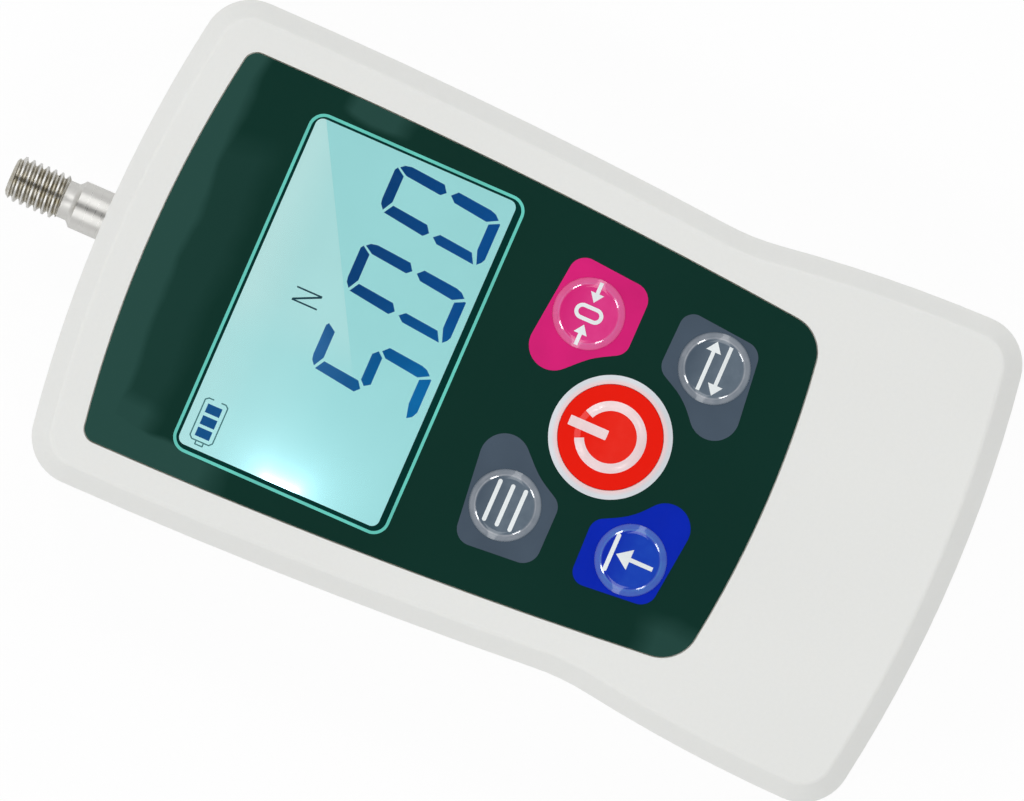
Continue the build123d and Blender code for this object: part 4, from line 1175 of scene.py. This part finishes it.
# Colour, how far it wanders and in what patches, the grain with its size and depth, gloss, metal.
SURFACES: dict[str, Surface] = {
    "zinc": Surface("zinc_steel", (0.62, 0.63, 0.66), 0.06, 2.0, Grain.EVEN, 0.2, 0.002, (0.18, 0.3), 1.0),
    "black_oxide": Surface(
        "black_steel", (0.03, 0.03, 0.034), 0.1, 2.0, Grain.ROUND_Y, 0.2, 0.003, (0.28, 0.42), 1.0
    ),
    "stainless": Surface(
        "stainless_steel", (0.6, 0.59, 0.57), 0.05, 3.0, Grain.ALONG_Y, 0.2, 0.002, (0.2, 0.34), 1.0
    ),
    "aluminium": Surface(
        "aluminium_alloy", (0.7, 0.71, 0.72), 0.04, 6.0, Grain.ALONG_X, 0.25, 0.003, (0.25, 0.4), 1.0
    ),
    "brass": Surface("brass", (0.66, 0.46, 0.17), 0.06, 3.0, Grain.ROUND_Z, 0.2, 0.003, (0.18, 0.32), 1.0),
    "can": Surface("component_can", (0.45, 0.45, 0.48), 0.08, 1.5, Grain.EVEN, 0.15, 0.002, (0.25, 0.4), 0.8),
    "foil": Surface("gauge_foil", (0.6, 0.34, 0.1), 0.12, 0.6, Grain.ALONG_Z, 0.2, 0.004, (0.3, 0.45), 0.5),
    "black": Surface("black_plastic", (0.02, 0.02, 0.021), 0.12, 4.0, Grain.EVEN, 0.25, 0.006, (0.42, 0.6)),
    "nylon": Surface("white_plastic", (0.78, 0.76, 0.7), 0.03, 3.0, Grain.EVEN, 0.3, 0.004, (0.35, 0.5)),
    "diffuser": Surface(
        "backlight_acrylic", (0.72, 0.86, 0.87), 0.03, 6.0, Grain.EVEN, 0.4, 0.003, (0.2, 0.32)
    ),
    "rear_glass": Surface(
        "display_glass", (0.3, 0.52, 0.52), 0.04, 9.0, Grain.EVEN, 0.4, 0.0005, (0.03, 0.07)
    ),
    "elastomer": Surface("elastomer", (0.4, 0.13, 0.2), 0.3, 0.8, Grain.ALONG_Z, 0.1, 0.01, (0.6, 0.75)),
    "foam": Surface("foam", (0.045, 0.045, 0.046), 0.2, 1.0, Grain.EVEN, 0.35, 0.08, (0.8, 0.95)),
    "sleeve": Surface(
        "battery_sleeve", (0.02, 0.11, 0.42), 0.08, 5.0, Grain.ALONG_X, 0.5, 0.003, (0.18, 0.3), coat=0.5
    ),
    "grey_cable": Surface("grey_cable", (0.15, 0.15, 0.155), 0.05, 3.0, Grain.EVEN, 0.3, 0.01, (0.45, 0.6)),
    "red_cable": Surface("red_cable", (0.42, 0.012, 0.012), 0.06, 3.0, Grain.EVEN, 0.3, 0.008, (0.4, 0.55)),
}

NODE_SURFACES: dict[str, tuple[str, ...]] = {
    "zinc": (
        *("chassis_screws", "bracket_screws", "board_screws"),
        *("lock_washer", "charge_socket", "battery_links"),
    ),
    "black_oxide": ("load_cell_bolt",),
    "stainless": ("lock_nut",),
    "aluminium": ("load_cell", "cell_bracket", "chassis_plate"),
    "can": ("board_components",),
    "foil": ("strain_gauges",),
    "black": (
        *("set_stem", "zero_stem", "peak_stem", "unit_stem", "power_stem", "key_switches", "lcd_frame"),
        *("microcontroller", "signal_amplifier", "buzzer", "battery_tray"),
    ),
    "nylon": ("sensor_connector", "battery_connector"),
    "diffuser": ("backlight_panel",),
    "rear_glass": ("lcd_rear_glass",),
    "elastomer": ("elastomer_strips",),
    "foam": ("window_gasket", "battery_pad"),
    "sleeve": ("battery_cells",),
    "grey_cable": ("sensor_lead",),
    "red_cable": ("battery_lead",),
}


@dataclass
class Gauge:
    """What all the sub-assemblies share: the model's nodes, and a way to finish and to place a piece."""

    nodes: dict[str, Piece]
    made: int = 0

    def dress(self, node: str, material: Material) -> None:
        """Gives a node of the model its finish.

        Args:
            node: The node's name.
            material: Its finish.
        """
        for slot in self.nodes[node].material_slots:
            slot.material = material
        log.info("node %s: %s", node, material.name)

    def keep(
        self, piece: Piece, material: Material, body: str, slot: str, replaces: str | None = None
    ) -> None:
        """Finishes a new piece and fastens it to a body of the model.

        Args:
            piece: The piece.
            material: Its finish.
            body: The body that it rides on.
            slot: A material slot of the model, by its name. Not used.
            replaces: The node that it stands for.
        """
        piece.data.materials.clear()
        piece.data.materials.append(material)
        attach(piece, body)
        if replaces:
            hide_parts(replaces)
        self.made += 1
        log.info("piece %s: %s, %d faces", piece.name, material.name, len(piece.data.polygons))


# ---- Sub-assemblies ----
@dataclass
class Case:
    """The two shells, and the screws and the mounting posts that show in the back."""

    gauge: Gauge
    head_radius: float = 2.75
    head_height: float = 2.0
    head_z: float = 4.0
    head_rounding: float = 0.7
    head_sides: int = 48
    head_screw_x: float = 26.6
    foot_screw_x: float = 26.7
    shank_radius: float = 1.5
    shank_length: float = 20.0
    cross_width: float = 0.75
    cross_length: float = 3.2
    cross_depth: float = 1.2
    cross_taper: float = 0.62
    post_radius: float = 4.0
    post_height: float = 5.0
    spigot_radius: float = 3.0
    spigot_height: float = 3.0
    post_sides: int = 64
    mouth_radius: float = 2.15
    bore_radius: float = 1.65
    bore_depth: float = 7.0
    bore_sides: int = 48
    drill_point: float = 0.9
    drill_run_in: float = 0.5
    thread_pitch: float = 0.7
    thread_radius: float = 2.0
    thread_crest: Span = (0.19, 0.29)
    thread_root: Span = (-0.02, 0.5)
    thread_sunk: float = 0.25
    thread_run_out: float = 0.6

    def screw_places(self) -> list[Point]:
        """The middles of the case screws."""
        low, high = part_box("case_screws")
        centre, reach = (low + high) / 2 / MM, (high - low) / 2 / MM
        top_y = centre.y + reach.y - self.head_radius
        foot_y = centre.y - reach.y + self.head_radius
        tops = [(side * self.head_screw_x, top_y) for side in (-1, 1)]
        return tops + [(side * self.foot_screw_x, foot_y) for side in (-1, 1)]

    def screw(self) -> Piece:
        """One case screw at the origin, with a rounded head and a cross recess in its underside."""
        screw = cylinder("case_screw", self.head_radius, self.head_z, self.head_height, self.head_sides)
        bpy.ops.object.mode_set(mode="EDIT")
        step_up(screw, self.head_radius - self.shank_radius, self.shank_length)
        pick(screw, edges=lambda edge: all(vert.co.z < self.head_z * MM + WELD for vert in edge.verts))
        bpy.ops.mesh.bevel(offset=self.head_rounding * MM, segments=6, profile=0.5, affect="EDGES")
        bpy.ops.object.mode_set(mode="OBJECT")
        for sides in ((self.cross_width, self.cross_length), (self.cross_length, self.cross_width)):
            bpy.ops.mesh.primitive_cube_add(size=MM, location=(0, 0, self.head_z * MM))
            blade = named("cross_blade")
            blade.scale = (*sides, 2 * self.cross_depth)
            settle(blade)
            bpy.ops.object.mode_set(mode="EDIT")
            pick(blade, faces=lambda face: face.normal.z > LEVEL)
            bpy.ops.transform.resize(value=(self.cross_taper, self.cross_taper, 1.0))
            bpy.ops.object.mode_set(mode="OBJECT")
            cut(screw, blade)
        tidy_mesh(screw)
        return smooth(screw)

    def post(self) -> Piece:
        """One mounting post at the origin, with a thread cut in its bore."""
        post = cylinder("mounting_post", self.post_radius, 0.0, self.post_height, self.post_sides)
        bpy.ops.object.mode_set(mode="EDIT")
        step_up(post, self.post_radius - self.spigot_radius, self.spigot_height)
        bpy.ops.object.mode_set(mode="OBJECT")
        inner, depth, mouth = self.bore_radius, self.bore_depth, self.mouth_radius
        bore = [(0, -self.drill_run_in), (mouth, -self.drill_run_in), (mouth, 0.0)]
        bore += [(inner, mouth - inner), (inner, depth), (0, depth + self.drill_point)]
        cut(post, turned("bore", [(x * MM, 0, z * MM) for x, z in bore], "Z", self.bore_sides))
        sunk, (low, high) = inner - self.thread_sunk, self.thread_root
        ridge = [(sunk, high), (sunk, low), *((self.thread_radius, z) for z in self.thread_crest)]
        turns = int((depth - self.thread_run_out) / self.thread_pitch)
        cut(post, helix("tap", [(x * MM, 0, z * MM) for x, z in ridge], "Z", self.thread_pitch * MM, turns))
        tidy_mesh(post)
        return smooth(post)

    def repeat(self, first: Piece, places: Sequence[Point], finish: str, node: str) -> None:
        """Puts copies of a piece in the place of a node, and throws the first away.

        Args:
            first: The piece, at the origin.
            places: The places of the copies.
            finish: Their surface, by its key.
            node: The node that they stand for.
        """
        surface = SURFACES[finish]
        material = surface.make()
        for index, (x, y) in enumerate(places, 1):
            twin = copied(first, f"{first.name}_{index}", Vector((x, y, 0)) * MM)
            self.gauge.keep(twin, material, "body", surface.name, node)
        bpy.data.objects.remove(first)

    def build(self) -> None:
        """Finishes the shells, and builds the screws and the posts."""
        plastic = MouldedPlastic().make()
        self.gauge.dress("rear_shell", plastic)
        self.gauge.dress("front_shell", plastic)
        self.repeat(self.screw(), self.screw_places(), "zinc", "case_screws")
        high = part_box("mounting_posts")[1]
        x, y = high.x / MM - self.post_radius, high.y / MM - self.post_radius
        self.repeat(self.post(), [(-x, -y), (x, -y), (-x, y), (x, y)], "brass", "mounting_posts")


@dataclass
class Stud:
    """The sensing shaft with its threaded stud."""

    gauge: Gauge
    shaft_radius: float = 3.2
    neck_radius: float = 2.5
    crest_radius: float = 3.0
    root_radius: float = 2.42
    tip_radius: float = 2.35
    spigot_radius: float = 2.5
    spigot_chamfer: float = 0.35
    spigot_length: float = 7.5
    nut_length: float = 4.0
    shoulder_y: float = 62.65
    neck_y: float = 63.3
    thread_y: float = 64.55
    crest_y: float = 64.9
    tip_y: float = 71.0
    # Each edge is softened by how far it goes in from its radius, and along from its place.
    shoulder_edge: Point = (0.06, 0.05)
    neck_edge: Point = (0.08, 0.12)
    neck_end: float = 0.08
    tip_edge: Point = (0.1, 0.18)
    tip_face: float = 0.25
    sides: int = 96
    pitch: float = 1.0
    groove_mouth: float = 0.405  # half its width, as a share of the pitch
    groove_floor: float = 0.10
    die_clearance: float = 0.04
    die_run_in: float = 0.15

    def section(self) -> Outline:
        """Half of the shaft's section, from the axis at its inner end to the axis at its tip."""
        low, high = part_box("sensing_shaft")
        end, nose = low.y / MM, high.y / MM
        collar = end + self.spigot_length + self.nut_length
        return [
            (0, end),
            (self.spigot_radius - self.spigot_chamfer, end),
            (self.spigot_radius, end + self.spigot_chamfer),
            (self.spigot_radius, collar),
            (self.shaft_radius, collar),
            (self.shaft_radius, self.shoulder_y),
            (self.shaft_radius - self.shoulder_edge[0], self.shoulder_y + self.shoulder_edge[1]),
            (self.neck_radius + self.neck_edge[0], self.neck_y - self.neck_edge[1]),
            (self.neck_radius, self.neck_y + self.neck_end),
            (self.neck_radius, self.thread_y),
            (self.crest_radius, self.crest_y),
            (self.crest_radius, self.tip_y),
            (self.tip_radius + self.tip_edge[0], nose - self.tip_edge[1]),
            (self.tip_radius - self.tip_face, nose),
            (0, nose),
        ]

    def die(self) -> Piece:
        """The helical cutter that leaves the thread standing."""
        wide, narrow = self.pitch * self.groove_mouth, self.pitch * self.groove_floor
        outer, root = self.crest_radius + self.die_clearance, self.root_radius
        start = self.thread_y - self.die_run_in
        turns = round((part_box("sensing_shaft")[1].y / MM - start) / self.pitch) + 1
        tooth = [(outer, -wide), (outer, wide), (root, narrow), (root, -narrow)]
        places = [(x * MM, (start + y) * MM, 0) for x, y in tooth]
        return helix("die", places, "Y", self.pitch * MM, turns)

    def build(self) -> None:
        """Turns the shaft, cuts its thread, and finishes it."""
        places = [(x * MM, y * MM, 0) for x, y in self.section()]
        shaft = turned("sensing_shaft_threaded", places, "Y", self.sides)
        cut(shaft, self.die())
        tidy_mesh(shaft)
        low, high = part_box("sensing_shaft")
        shaft.location.z = (low.z + high.z) / 2
        settle(shaft)
        smooth(shaft, 28.0)
        self.gauge.keep(shaft, TurnedSteel().make(), "shaft", "stainless_steel", "sensing_shaft")


# The strokes of a digit, on the grid, about the digit's middle.
STROKES: dict[str, Outline] = {
    "top": [(33, 14), (38, 18), (43, 19), (75, 19), (78, 17), (72, 8), (44, 8)],
    "upper_left": [(31, 12), (41, 6), (37, -33), (30, -38), (25, -33)],
    "upper_right": [(79, 15), (82.5, 11), (84, 4), (81, -33), (74, -38), (69.5, -33), (73.5, 6)],
    "middle": [(34, -40), (39, -35), (67, -35), (72, -40), (67, -46), (38, -46)],
    "lower_left": [(28, -43), (33, -49), (29.5, -85), (19, -91), (23, -49)],
    "lower_right": [(73.5, -43), (79.5, -49), (76, -86), (74, -92), (69.5, -97), (63.5, -86), (68, -49)],
    "bottom": [(20, -94), (34, -89), (62, -89), (67, -99), (66, -100), (28, -100), (24, -98)],
    "open_bottom": [(21.5, -92), (36, -88.5), (62, -88.5), (67, -99), (66, -100), (31, -100), (25, -97)],
}
FIVE = ("top", "upper_left", "middle", "lower_right", "open_bottom")
ZERO = ("top", "upper_left", "upper_right", "lower_left", "lower_right", "bottom")


@dataclass
class Display:
    """The lit glass, its segments and signs, and the clear window over them."""

    gauge: Gauge
    ink: float = 0.02
    digits: tuple[tuple[str, ...], ...] = (FIVE, ZERO, ZERO)
    digit_places: tuple[Point, ...] = ((-86.0, 0.0), (-1.0, -0.7), (84.5, -0.8))
    charge_colour: Colour = (0.006, 0.082, 0.25)
    line_colour: Colour = (0.06, 0.18, 0.19)
    unit_colour: Colour = (0.012, 0.05, 0.065)
    # The battery sign, on the grid: three bars in a line with a knob on its left.
    bar_lefts: Triple = (-164.8, -152.3, -139.6)
    bar_width: float = 9.3
    bar_heights: Span = (80.0, 95.6)
    line_width: float = 1.35
    battery_line: tuple[Point, ...] = (
        *((-125, 92), (-125, 97), (-127.5, 100), (-166, 100), (-169, 97), (-169, 92), (-172.8, 92)),
        *((-172.8, 84), (-169, 84), (-169, 78.5), (-166, 75.5), (-127.5, 75.5), (-125, 78.5), (-125, 83)),
    )
    knob_line: tuple[Point, Point] = ((-169, 92), (-169, 84))
    # The letter of the unit, on the grid: two posts and the slant between them.
    letter_x: Span = (-1.6, 13.6)
    letter_y: Span = (33.5, 61.0)
    post_width: float = 1.7
    slant_width: float = 2.3

    def show(self, name: str, outlines: Iterable[Outline], material: Material) -> None:
        """Lays a sign that is drawn on the grid on top of the glass.

        Args:
            name: The sign's name.
            outlines: Its outlines, on the grid.
            material: Its finish.
        """
        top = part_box("lcd_front_glass")[1].z / MM
        sign = flat(name, [on_grid(outline) for outline in outlines], top, self.ink)
        self.gauge.keep(sign, material, "body", "display_glass")

    def battery(self) -> None:
        """Builds the battery sign."""
        low, high = self.bar_heights
        bars = [box((left, low), (left + self.bar_width, high)) for left in self.bar_lefts]
        self.show("battery_bars", bars, Segment.plain("segment_charge", self.charge_colour).make())
        grey = Segment.plain("segment_line", self.line_colour).make()
        strokes = [*zip(self.battery_line, self.battery_line[1:]), self.knob_line]
        for index, (start, end) in enumerate(strokes, 1):
            self.show(f"battery_line_{index}", [stroke(start, end, self.line_width)], grey)

    def newton(self) -> None:
        """Builds the letter of the unit."""
        dark = Segment.plain("segment_dark", self.unit_colour).make()
        (left, right), (low, high) = self.letter_x, self.letter_y
        first = box((left, low), (left + self.post_width, high))
        second = box((right - self.post_width, low), (right, high))
        slant = [(left, high), (left + self.slant_width, high), (right, low), (right - self.slant_width, low)]
        for index, outline in enumerate((first, second, slant), 1):
            self.show(f"newton_sign_{index}", [outline], dark)

    def build(self) -> None:
        """Finishes the glass and the window, and builds the segments and signs."""
        self.gauge.dress("lcd_front_glass", LitGlass().make())
        self.gauge.dress("display_window", ClearAcrylic().make())
        blue = Segment().make()
        for index, (place, names) in enumerate(zip(self.digit_places, self.digits), 1):
            self.show(f"digit_{index}", [moved(STROKES[name], *place) for name in names], blue)
        self.battery()
        self.newton()


class KeyName(Enum):
    """The keys, by the name of their body in the model."""

    SET = "set"
    ZERO = "zero"
    PEAK = "peak"
    UNIT = "unit"
    POWER = "power"


@dataclass
class Key:
    """A key on the front: its dome, its sign, and the patch printed round it."""

    name: KeyName
    centre: Point
    colours: FilmColours

    @property
    def dome(self) -> str:
        """The node that is its dome."""
        return f"{self.name.value}_dome"


# The patches of the two keys on the left, on the grid, as belts round these rollers.
POWER_HOLLOW = Roller(0.5, -287.0, 81.2, True)
UPPER_PATCH = (
    Roller(-138.7, -198.6, 17),
    Roller(-133.6, -250.0, 18),
    Roller(-91.2, -252.0, 16),
    POWER_HOLLOW,
    Roller(-62.0, -198.6, 25.4),
)
LOWER_PATCH = (
    Roller(-132.6, -319.5, 14.5),
    Roller(-125.2, -375.0, 17),
    Roller(-61.6, -373.8, 25.2),
    POWER_HOLLOW,
    Roller(-91.8, -320.0, 16),
)


@dataclass
class Front:
    """The overlay with its printing, and the keys."""

    gauge: Gauge
    ink: float = 0.02
    ink_gap: float = 0.01
    sign_ink: float = 0.012
    frame_line: Triple = (46.05, 29.17, 1.9)  # width, height, corner radius
    frame_shift: Point = (-0.12, -0.25)
    line_width: float = 0.39
    lit_face: Triple = (44.8, 27.5, 1.0)
    column: float = 13.2
    upper_y: float = -2.75
    lower_y: float = -20.05
    dome_radius: float = 4.6
    power: Point = (0.0, -11.5)
    power_rim: Span = (6.75, 7.88)
    power_blush: Span = (6.8, 7.45)
    power_edge_slope: float = 0.12
    power_ring: Span = (3.34, 4.58)
    ring_gap: float = 12.75 * GRID  # half of it, on a circle of the radius below
    ring_middle: float = 3.95
    ring_steps: int = 72
    power_bar: Triple = (1.3, 5.2, 0.12)
    bar_place: Point = (0.02, 3.06)
    pen: float = 0.55
    fine_pen: float = 0.5

    @property
    def keys(self) -> list[Key]:
        """The four keys round the power key."""
        left, right, high, low = -self.column, self.column, self.upper_y, self.lower_y
        return [
            Key(KeyName.SET, (left, high), GREY),
            Key(KeyName.ZERO, (right, high), MAGENTA),
            Key(KeyName.PEAK, (left, low), BLUE),
            Key(KeyName.UNIT, (right, low), GREY),
        ]

    def patch(self, key: Key) -> Outline:
        """The outline printed round a key, hollowed by a circle round the power key.

        Args:
            key: The key.

        Returns:
            The outline, anticlockwise.
        """
        rollers = UPPER_PATCH if key.centre[1] > self.power[1] else LOWER_PATCH
        points = on_grid(belt(rollers))
        return points if key.centre[0] < 0 else [(-x, y) for x, y in reversed(points)]

    def sign(self, key: KeyName) -> list[Outline]:
        """The sign on a key, about its middle.

        Args:
            key: The key's name.

        Returns:
            The outlines of the sign's strokes.
        """
        if key is KeyName.SET:
            return [stroke((-2.6, height), (2.6, height), self.pen) for height in (-1.75, 0.0, 1.75)]
        if key is KeyName.ZERO:
            oval, hole = (
                belt([Roller(0, -0.85, radius), Roller(0, 0.85, radius)], 8.0) for radius in (1.05, 0.55)
            )
            arrows = [arrow((4.25 * side, 0), (1.5 * side, 0), self.fine_pen, 1.25) for side in (-1, 1)]
            return [oval, hole, *arrows]
        if key is KeyName.PEAK:
            return [arrow((0, -3.0), (0, 2.0), self.pen, 1.9), stroke((-2.3, 2.6), (2.3, 2.6), self.pen)]
        return [
            arrow((-3.3 * side, 0.95 * side), (3.3 * side, 0.95 * side), self.fine_pen, 1.4)
            for side in (1, -1)
        ]

    def power_signs(self) -> dict[str, Outline]:
        """The open ring and the bar on the power key, about its middle."""
        gap = math.asin(self.ring_gap / self.ring_middle)
        share = (2 * math.pi - 2 * gap) / self.ring_steps
        arc = [math.pi / 2 + gap + share * index for index in range(self.ring_steps + 1)]
        inner, outer = self.power_ring
        ring = [(outer * math.cos(angle), outer * math.sin(angle)) for angle in arc]
        ring += [(inner * math.cos(angle), inner * math.sin(angle)) for angle in reversed(arc)]
        return {"power_ring": ring, "power_bar": rounded_box(*self.power_bar, self.bar_place)}

    def print_on(self, name: str, outlines: Iterable[Outline], ink: Material, slot: str) -> None:
        """Prints a flat piece on the overlay."""
        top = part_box("front_overlay")[1].z / MM
        self.gauge.keep(flat(name, outlines, top, self.ink), ink, "body", slot)

    def build_printing(self) -> None:
        """Prints the display's border, the patches round the keys and the rim of the power key."""
        width, height, corner = self.frame_line
        centre = (DISPLAY_CENTRE[0] + self.frame_shift[0], DISPLAY_CENTRE[1] + self.frame_shift[1])
        half = self.line_width / 2
        outer, inner = (
            rounded_box(width + 2 * grow, height + 2 * grow, corner + grow, centre) for grow in (half, -half)
        )
        opening = rounded_box(*self.lit_face, DISPLAY_CENTRE)
        turquoise, dark = Ink("turquoise_ink", TURQUOISE).make(), Ink("dark_ink", BORDER, 0.1).make()
        self.print_on("display_frame_line", [outer, inner], turquoise, "overlay_film")
        self.print_on("display_border", [inner, opening], dark, "overlay_film")
        inks: dict[str, Material] = {}
        for key in self.keys:
            film = key.colours.film
            if film not in inks:
                inks[film] = Ink(film + "_print", key.colours.flat).make()
            hole = ring_points(self.dome_radius + self.ink_gap, key.centre)
            self.print_on(f"{key.name.value}_patch", [self.patch(key), hole], inks[film], film)
        pale = Ink("pale_ink", PALE, blush=RIM_BLUSH, centre=self.power, span=self.power_blush).make()
        inside, outside = (ring_points(radius, self.power) for radius in self.power_rim)
        self.print_on("power_rim", [outside, inside], pale, "overlay_film")

    def sign_on(self, key: Key, name: str, outlines: Iterable[Outline], ink: Material) -> None:
        """Lays a sign that is drawn about a key's middle on its dome.

        Args:
            key: The key.
            name: The sign's name.
            outlines: Its outlines.
            ink: Its finish.
        """
        placed = [moved(outline, *key.centre) for outline in outlines]
        sign = laid_on(name, placed, self.gauge.nodes[key.dome], self.sign_ink)
        self.gauge.keep(sign, ink, f"{key.name.value}_key", key.colours.film)

    def build_keys(self) -> None:
        """Finishes the domes and lays their signs on them."""
        white, blush = Ink("white_ink", WHITE, 0.2).make(), Ink("blush_ink", SIGN_BLUSH, 0.2).make()
        for key in self.keys:
            film = EmbossedFilm(key.dome + "_film", key.colours, key.centre)
            self.gauge.dress(key.dome, film.make())
            self.sign_on(key, f"{key.name.value}_sign", self.sign(key.name), white)
        power = Key(KeyName.POWER, self.power, RED)
        film = EmbossedFilm(power.dome + "_film", RED, self.power, edge_slope=self.power_edge_slope)
        self.gauge.dress(power.dome, film.make())
        for name, outline in self.power_signs().items():
            self.sign_on(power, name, [outline], blush)

    def build(self) -> None:
        """Builds all of the front."""
        self.gauge.dress("front_overlay", OverlayFilm().make())
        self.build_printing()
        self.build_keys()


@dataclass
class Inside:
    """What the case holds, whose solids keep their shapes."""

    gauge: Gauge
    cell_fixed: float = 0.3
    cell_moving: float = 0.75

    def build(self) -> None:
        """Gives each inner node its finish."""
        for surface, nodes in NODE_SURFACES.items():
            material = SURFACES[surface].make()
            for node in nodes:
                self.gauge.dress(node, material)
        self.gauge.dress("main_board", SolderMask().make())
        self.build_load_cell()

    def build_load_cell(self) -> None:
        """Puts a copy of the load cell's solid in its place as a piece of its own, and hides the node."""
        solid = self.gauge.nodes["load_cell"]
        cell = bpy.data.objects.new("load_cell_elastic", solid.data.copy())
        cell.matrix_world = solid.matrix_world
        bpy.context.collection.objects.link(cell)
        settle(cell)
        self.gauge.made += 1
        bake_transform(cell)
        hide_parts("load_cell")


@dataclass
class Studio:
    """The floor, the soft light and the camera."""

    look_at: Point = (-0.72, 1.75)
    face_z: float = 36.0
    distance: float = 1500.0
    picture_width: float = 129.3
    sensor_width: float = 36.0
    turn: float = -66.38  # degrees
    floor_drop: float = 0.05
    floor_white: float = 0.94
    # The places and sizes of the floor and the lamps are in metres.
    floor_size: float = 30.0
    view_depth: float = 100.0
    softbox_place: Triple = (0.62, 0.0, 0.9)
    softbox_size: Point = (0.22, 1.0)
    softbox_level: float = 1.5
    flash_place: Triple = (0.375, 0.375, 0.85)
    flash_size: Point = (0.15, 0.11)
    flash_levels: Span = (14.0, 17.5)
    sky: tuple[tuple[float, Colour], ...] = (
        (0.0, (0.8, 0.8, 0.8)),
        (0.86, (0.74, 0.75, 0.755)),
        (0.885, (0.7, 0.7, 0.7)),
        (0.9, (0.045, 0.045, 0.045)),
        (1.0, (0.035, 0.035, 0.035)),
    )
    sky_sides: Span = (0.74, 1.14)

    def camera(self) -> None:
        """Puts the camera square above the front, on a long lens."""
        data = bpy.data.cameras.new("camera")
        data.sensor_width = self.sensor_width
        data.lens = data.sensor_width * self.distance / self.picture_width
        data.clip_end = self.view_depth
        camera = bpy.data.objects.new("camera", data)
        bpy.context.collection.objects.link(camera)
        camera.location = Vector((*self.look_at, self.face_z + self.distance)) * MM
        camera.rotation_euler = (0, 0, math.radians(self.turn))
        bpy.context.scene.camera = camera

    def floor(self) -> None:
        """Lays a plain pale floor that keeps the gauge's shadow."""
        bpy.ops.mesh.primitive_plane_add(size=self.floor_size, location=(0, 0, -self.floor_drop * MM))
        floor = settle(named("floor"))
        sheet = Sheet("floor")
        sheet.set(Base_Color=(0.9, 0.9, 0.9), Roughness=0.6, Specular_IOR_Level=0.2)
        seen = sheet.add("LightPath").outputs["Is Camera Ray"]
        white = sheet.add("Emission", Color=(1.0, 1.0, 1.0), Strength=1.0)
        mix = sheet.nodes.new("ShaderNodeMixShader")
        inputs = (sheet.times(seen, self.floor_white), sheet.shader.outputs[0], white.outputs[0])
        for socket, value in zip(mix.inputs, inputs):
            sheet.give(socket, value)
        sheet.give(sheet.output.inputs["Surface"], mix.outputs[0])
        floor.data.materials.append(sheet.material)

    def room(self) -> None:
        """A pale room with a dark patch straight above, where the camera stands."""
        world = bpy.data.worlds.new("room")
        bpy.context.scene.world = world
        world.use_nodes = True
        nodes, links = world.node_tree.nodes, world.node_tree.links
        split = nodes.new("ShaderNodeSeparateXYZ")
        links.new(nodes.new("ShaderNodeTexCoord").outputs["Generated"], split.inputs[0])
        ramp = nodes.new("ShaderNodeValToRGB")
        stops = ramp.color_ramp.elements
        for index, (height, colour) in enumerate(self.sky):
            stop = stops[index] if index < 2 else stops.new(height)
            stop.position, stop.color = height, (*colour, 1)
        links.new(split.outputs[2], ramp.inputs[0])
        side = nodes.new("ShaderNodeMapRange")
        links.new(split.outputs[1], side.inputs["Value"])
        for name, value in zip(("From Min", "From Max", "To Min", "To Max"), (-1.0, 1.0, *self.sky_sides)):
            side.inputs[name].default_value = value
        dimmed = nodes.new("ShaderNodeVectorMath")
        dimmed.operation = "SCALE"
        links.new(ramp.outputs[0], dimmed.inputs[0])
        links.new(side.outputs[0], dimmed.inputs["Scale"])
        path = nodes.new("ShaderNodeLightPath")
        mix = nodes.new("ShaderNodeMix")
        mix.data_type = "RGBA"
        links.new(path.outputs["Is Camera Ray"], mix.inputs[0])
        links.new(dimmed.outputs[0], mix.inputs[6])
        mix.inputs[7].default_value = (1, 1, 1, 1)
        links.new(mix.outputs[2], nodes["Background"].inputs[0])

    def lamp(self, name: str, place: Triple, size: Point, level: float) -> None:
        """Hangs a soft lamp that faces the gauge.

        Args:
            name: The lamp's name.
            place: Its place, in metres.
            size: Its two sides, in metres.
            level: How bright its face is, where 1 is white.
        """
        data = bpy.data.lights.new(name, "AREA")
        data.shape = "RECTANGLE"
        data.size, data.size_y = size
        data.energy = level * math.pi * size[0] * size[1]
        lamp = bpy.data.objects.new(name, data)
        bpy.context.collection.objects.link(lamp)
        lamp.location = place
        lamp.rotation_euler = (-Vector(place)).to_track_quat("-Z", "Y").to_euler()
        lamp.visible_camera = False

    def build(self) -> None:
        """Builds the studio."""
        self.camera()
        self.floor()
        self.room()
        for side in (-1, 1):
            x, y, z = self.softbox_place
            self.lamp(f"softbox_{side + 1}", (side * x, y, z), self.softbox_size, self.softbox_level)
            x, y, z = self.flash_place
            for end, level in zip((-1, 1), self.flash_levels):
                self.lamp(f"flash_{side + 1}_{end + 1}", (side * x, end * y, z), self.flash_size, level)
        bpy.context.scene.view_settings.view_transform = "Standard"


def main() -> None:
    """Builds the force gauge's looks in order."""
    logging.basicConfig(level=logging.INFO, format="%(message)s")
    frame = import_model()
    bpy.context.view_layer.update()
    gauge = Gauge(frame["nodes"])
    for assembly in (Studio(), Inside(gauge), Case(gauge), Stud(gauge), Display(gauge), Front(gauge)):
        log.info("building %s", type(assembly).__name__)
        assembly.build()
    log.info("pieces made: %d", gauge.made)


if __name__ == "__main__":
    main()
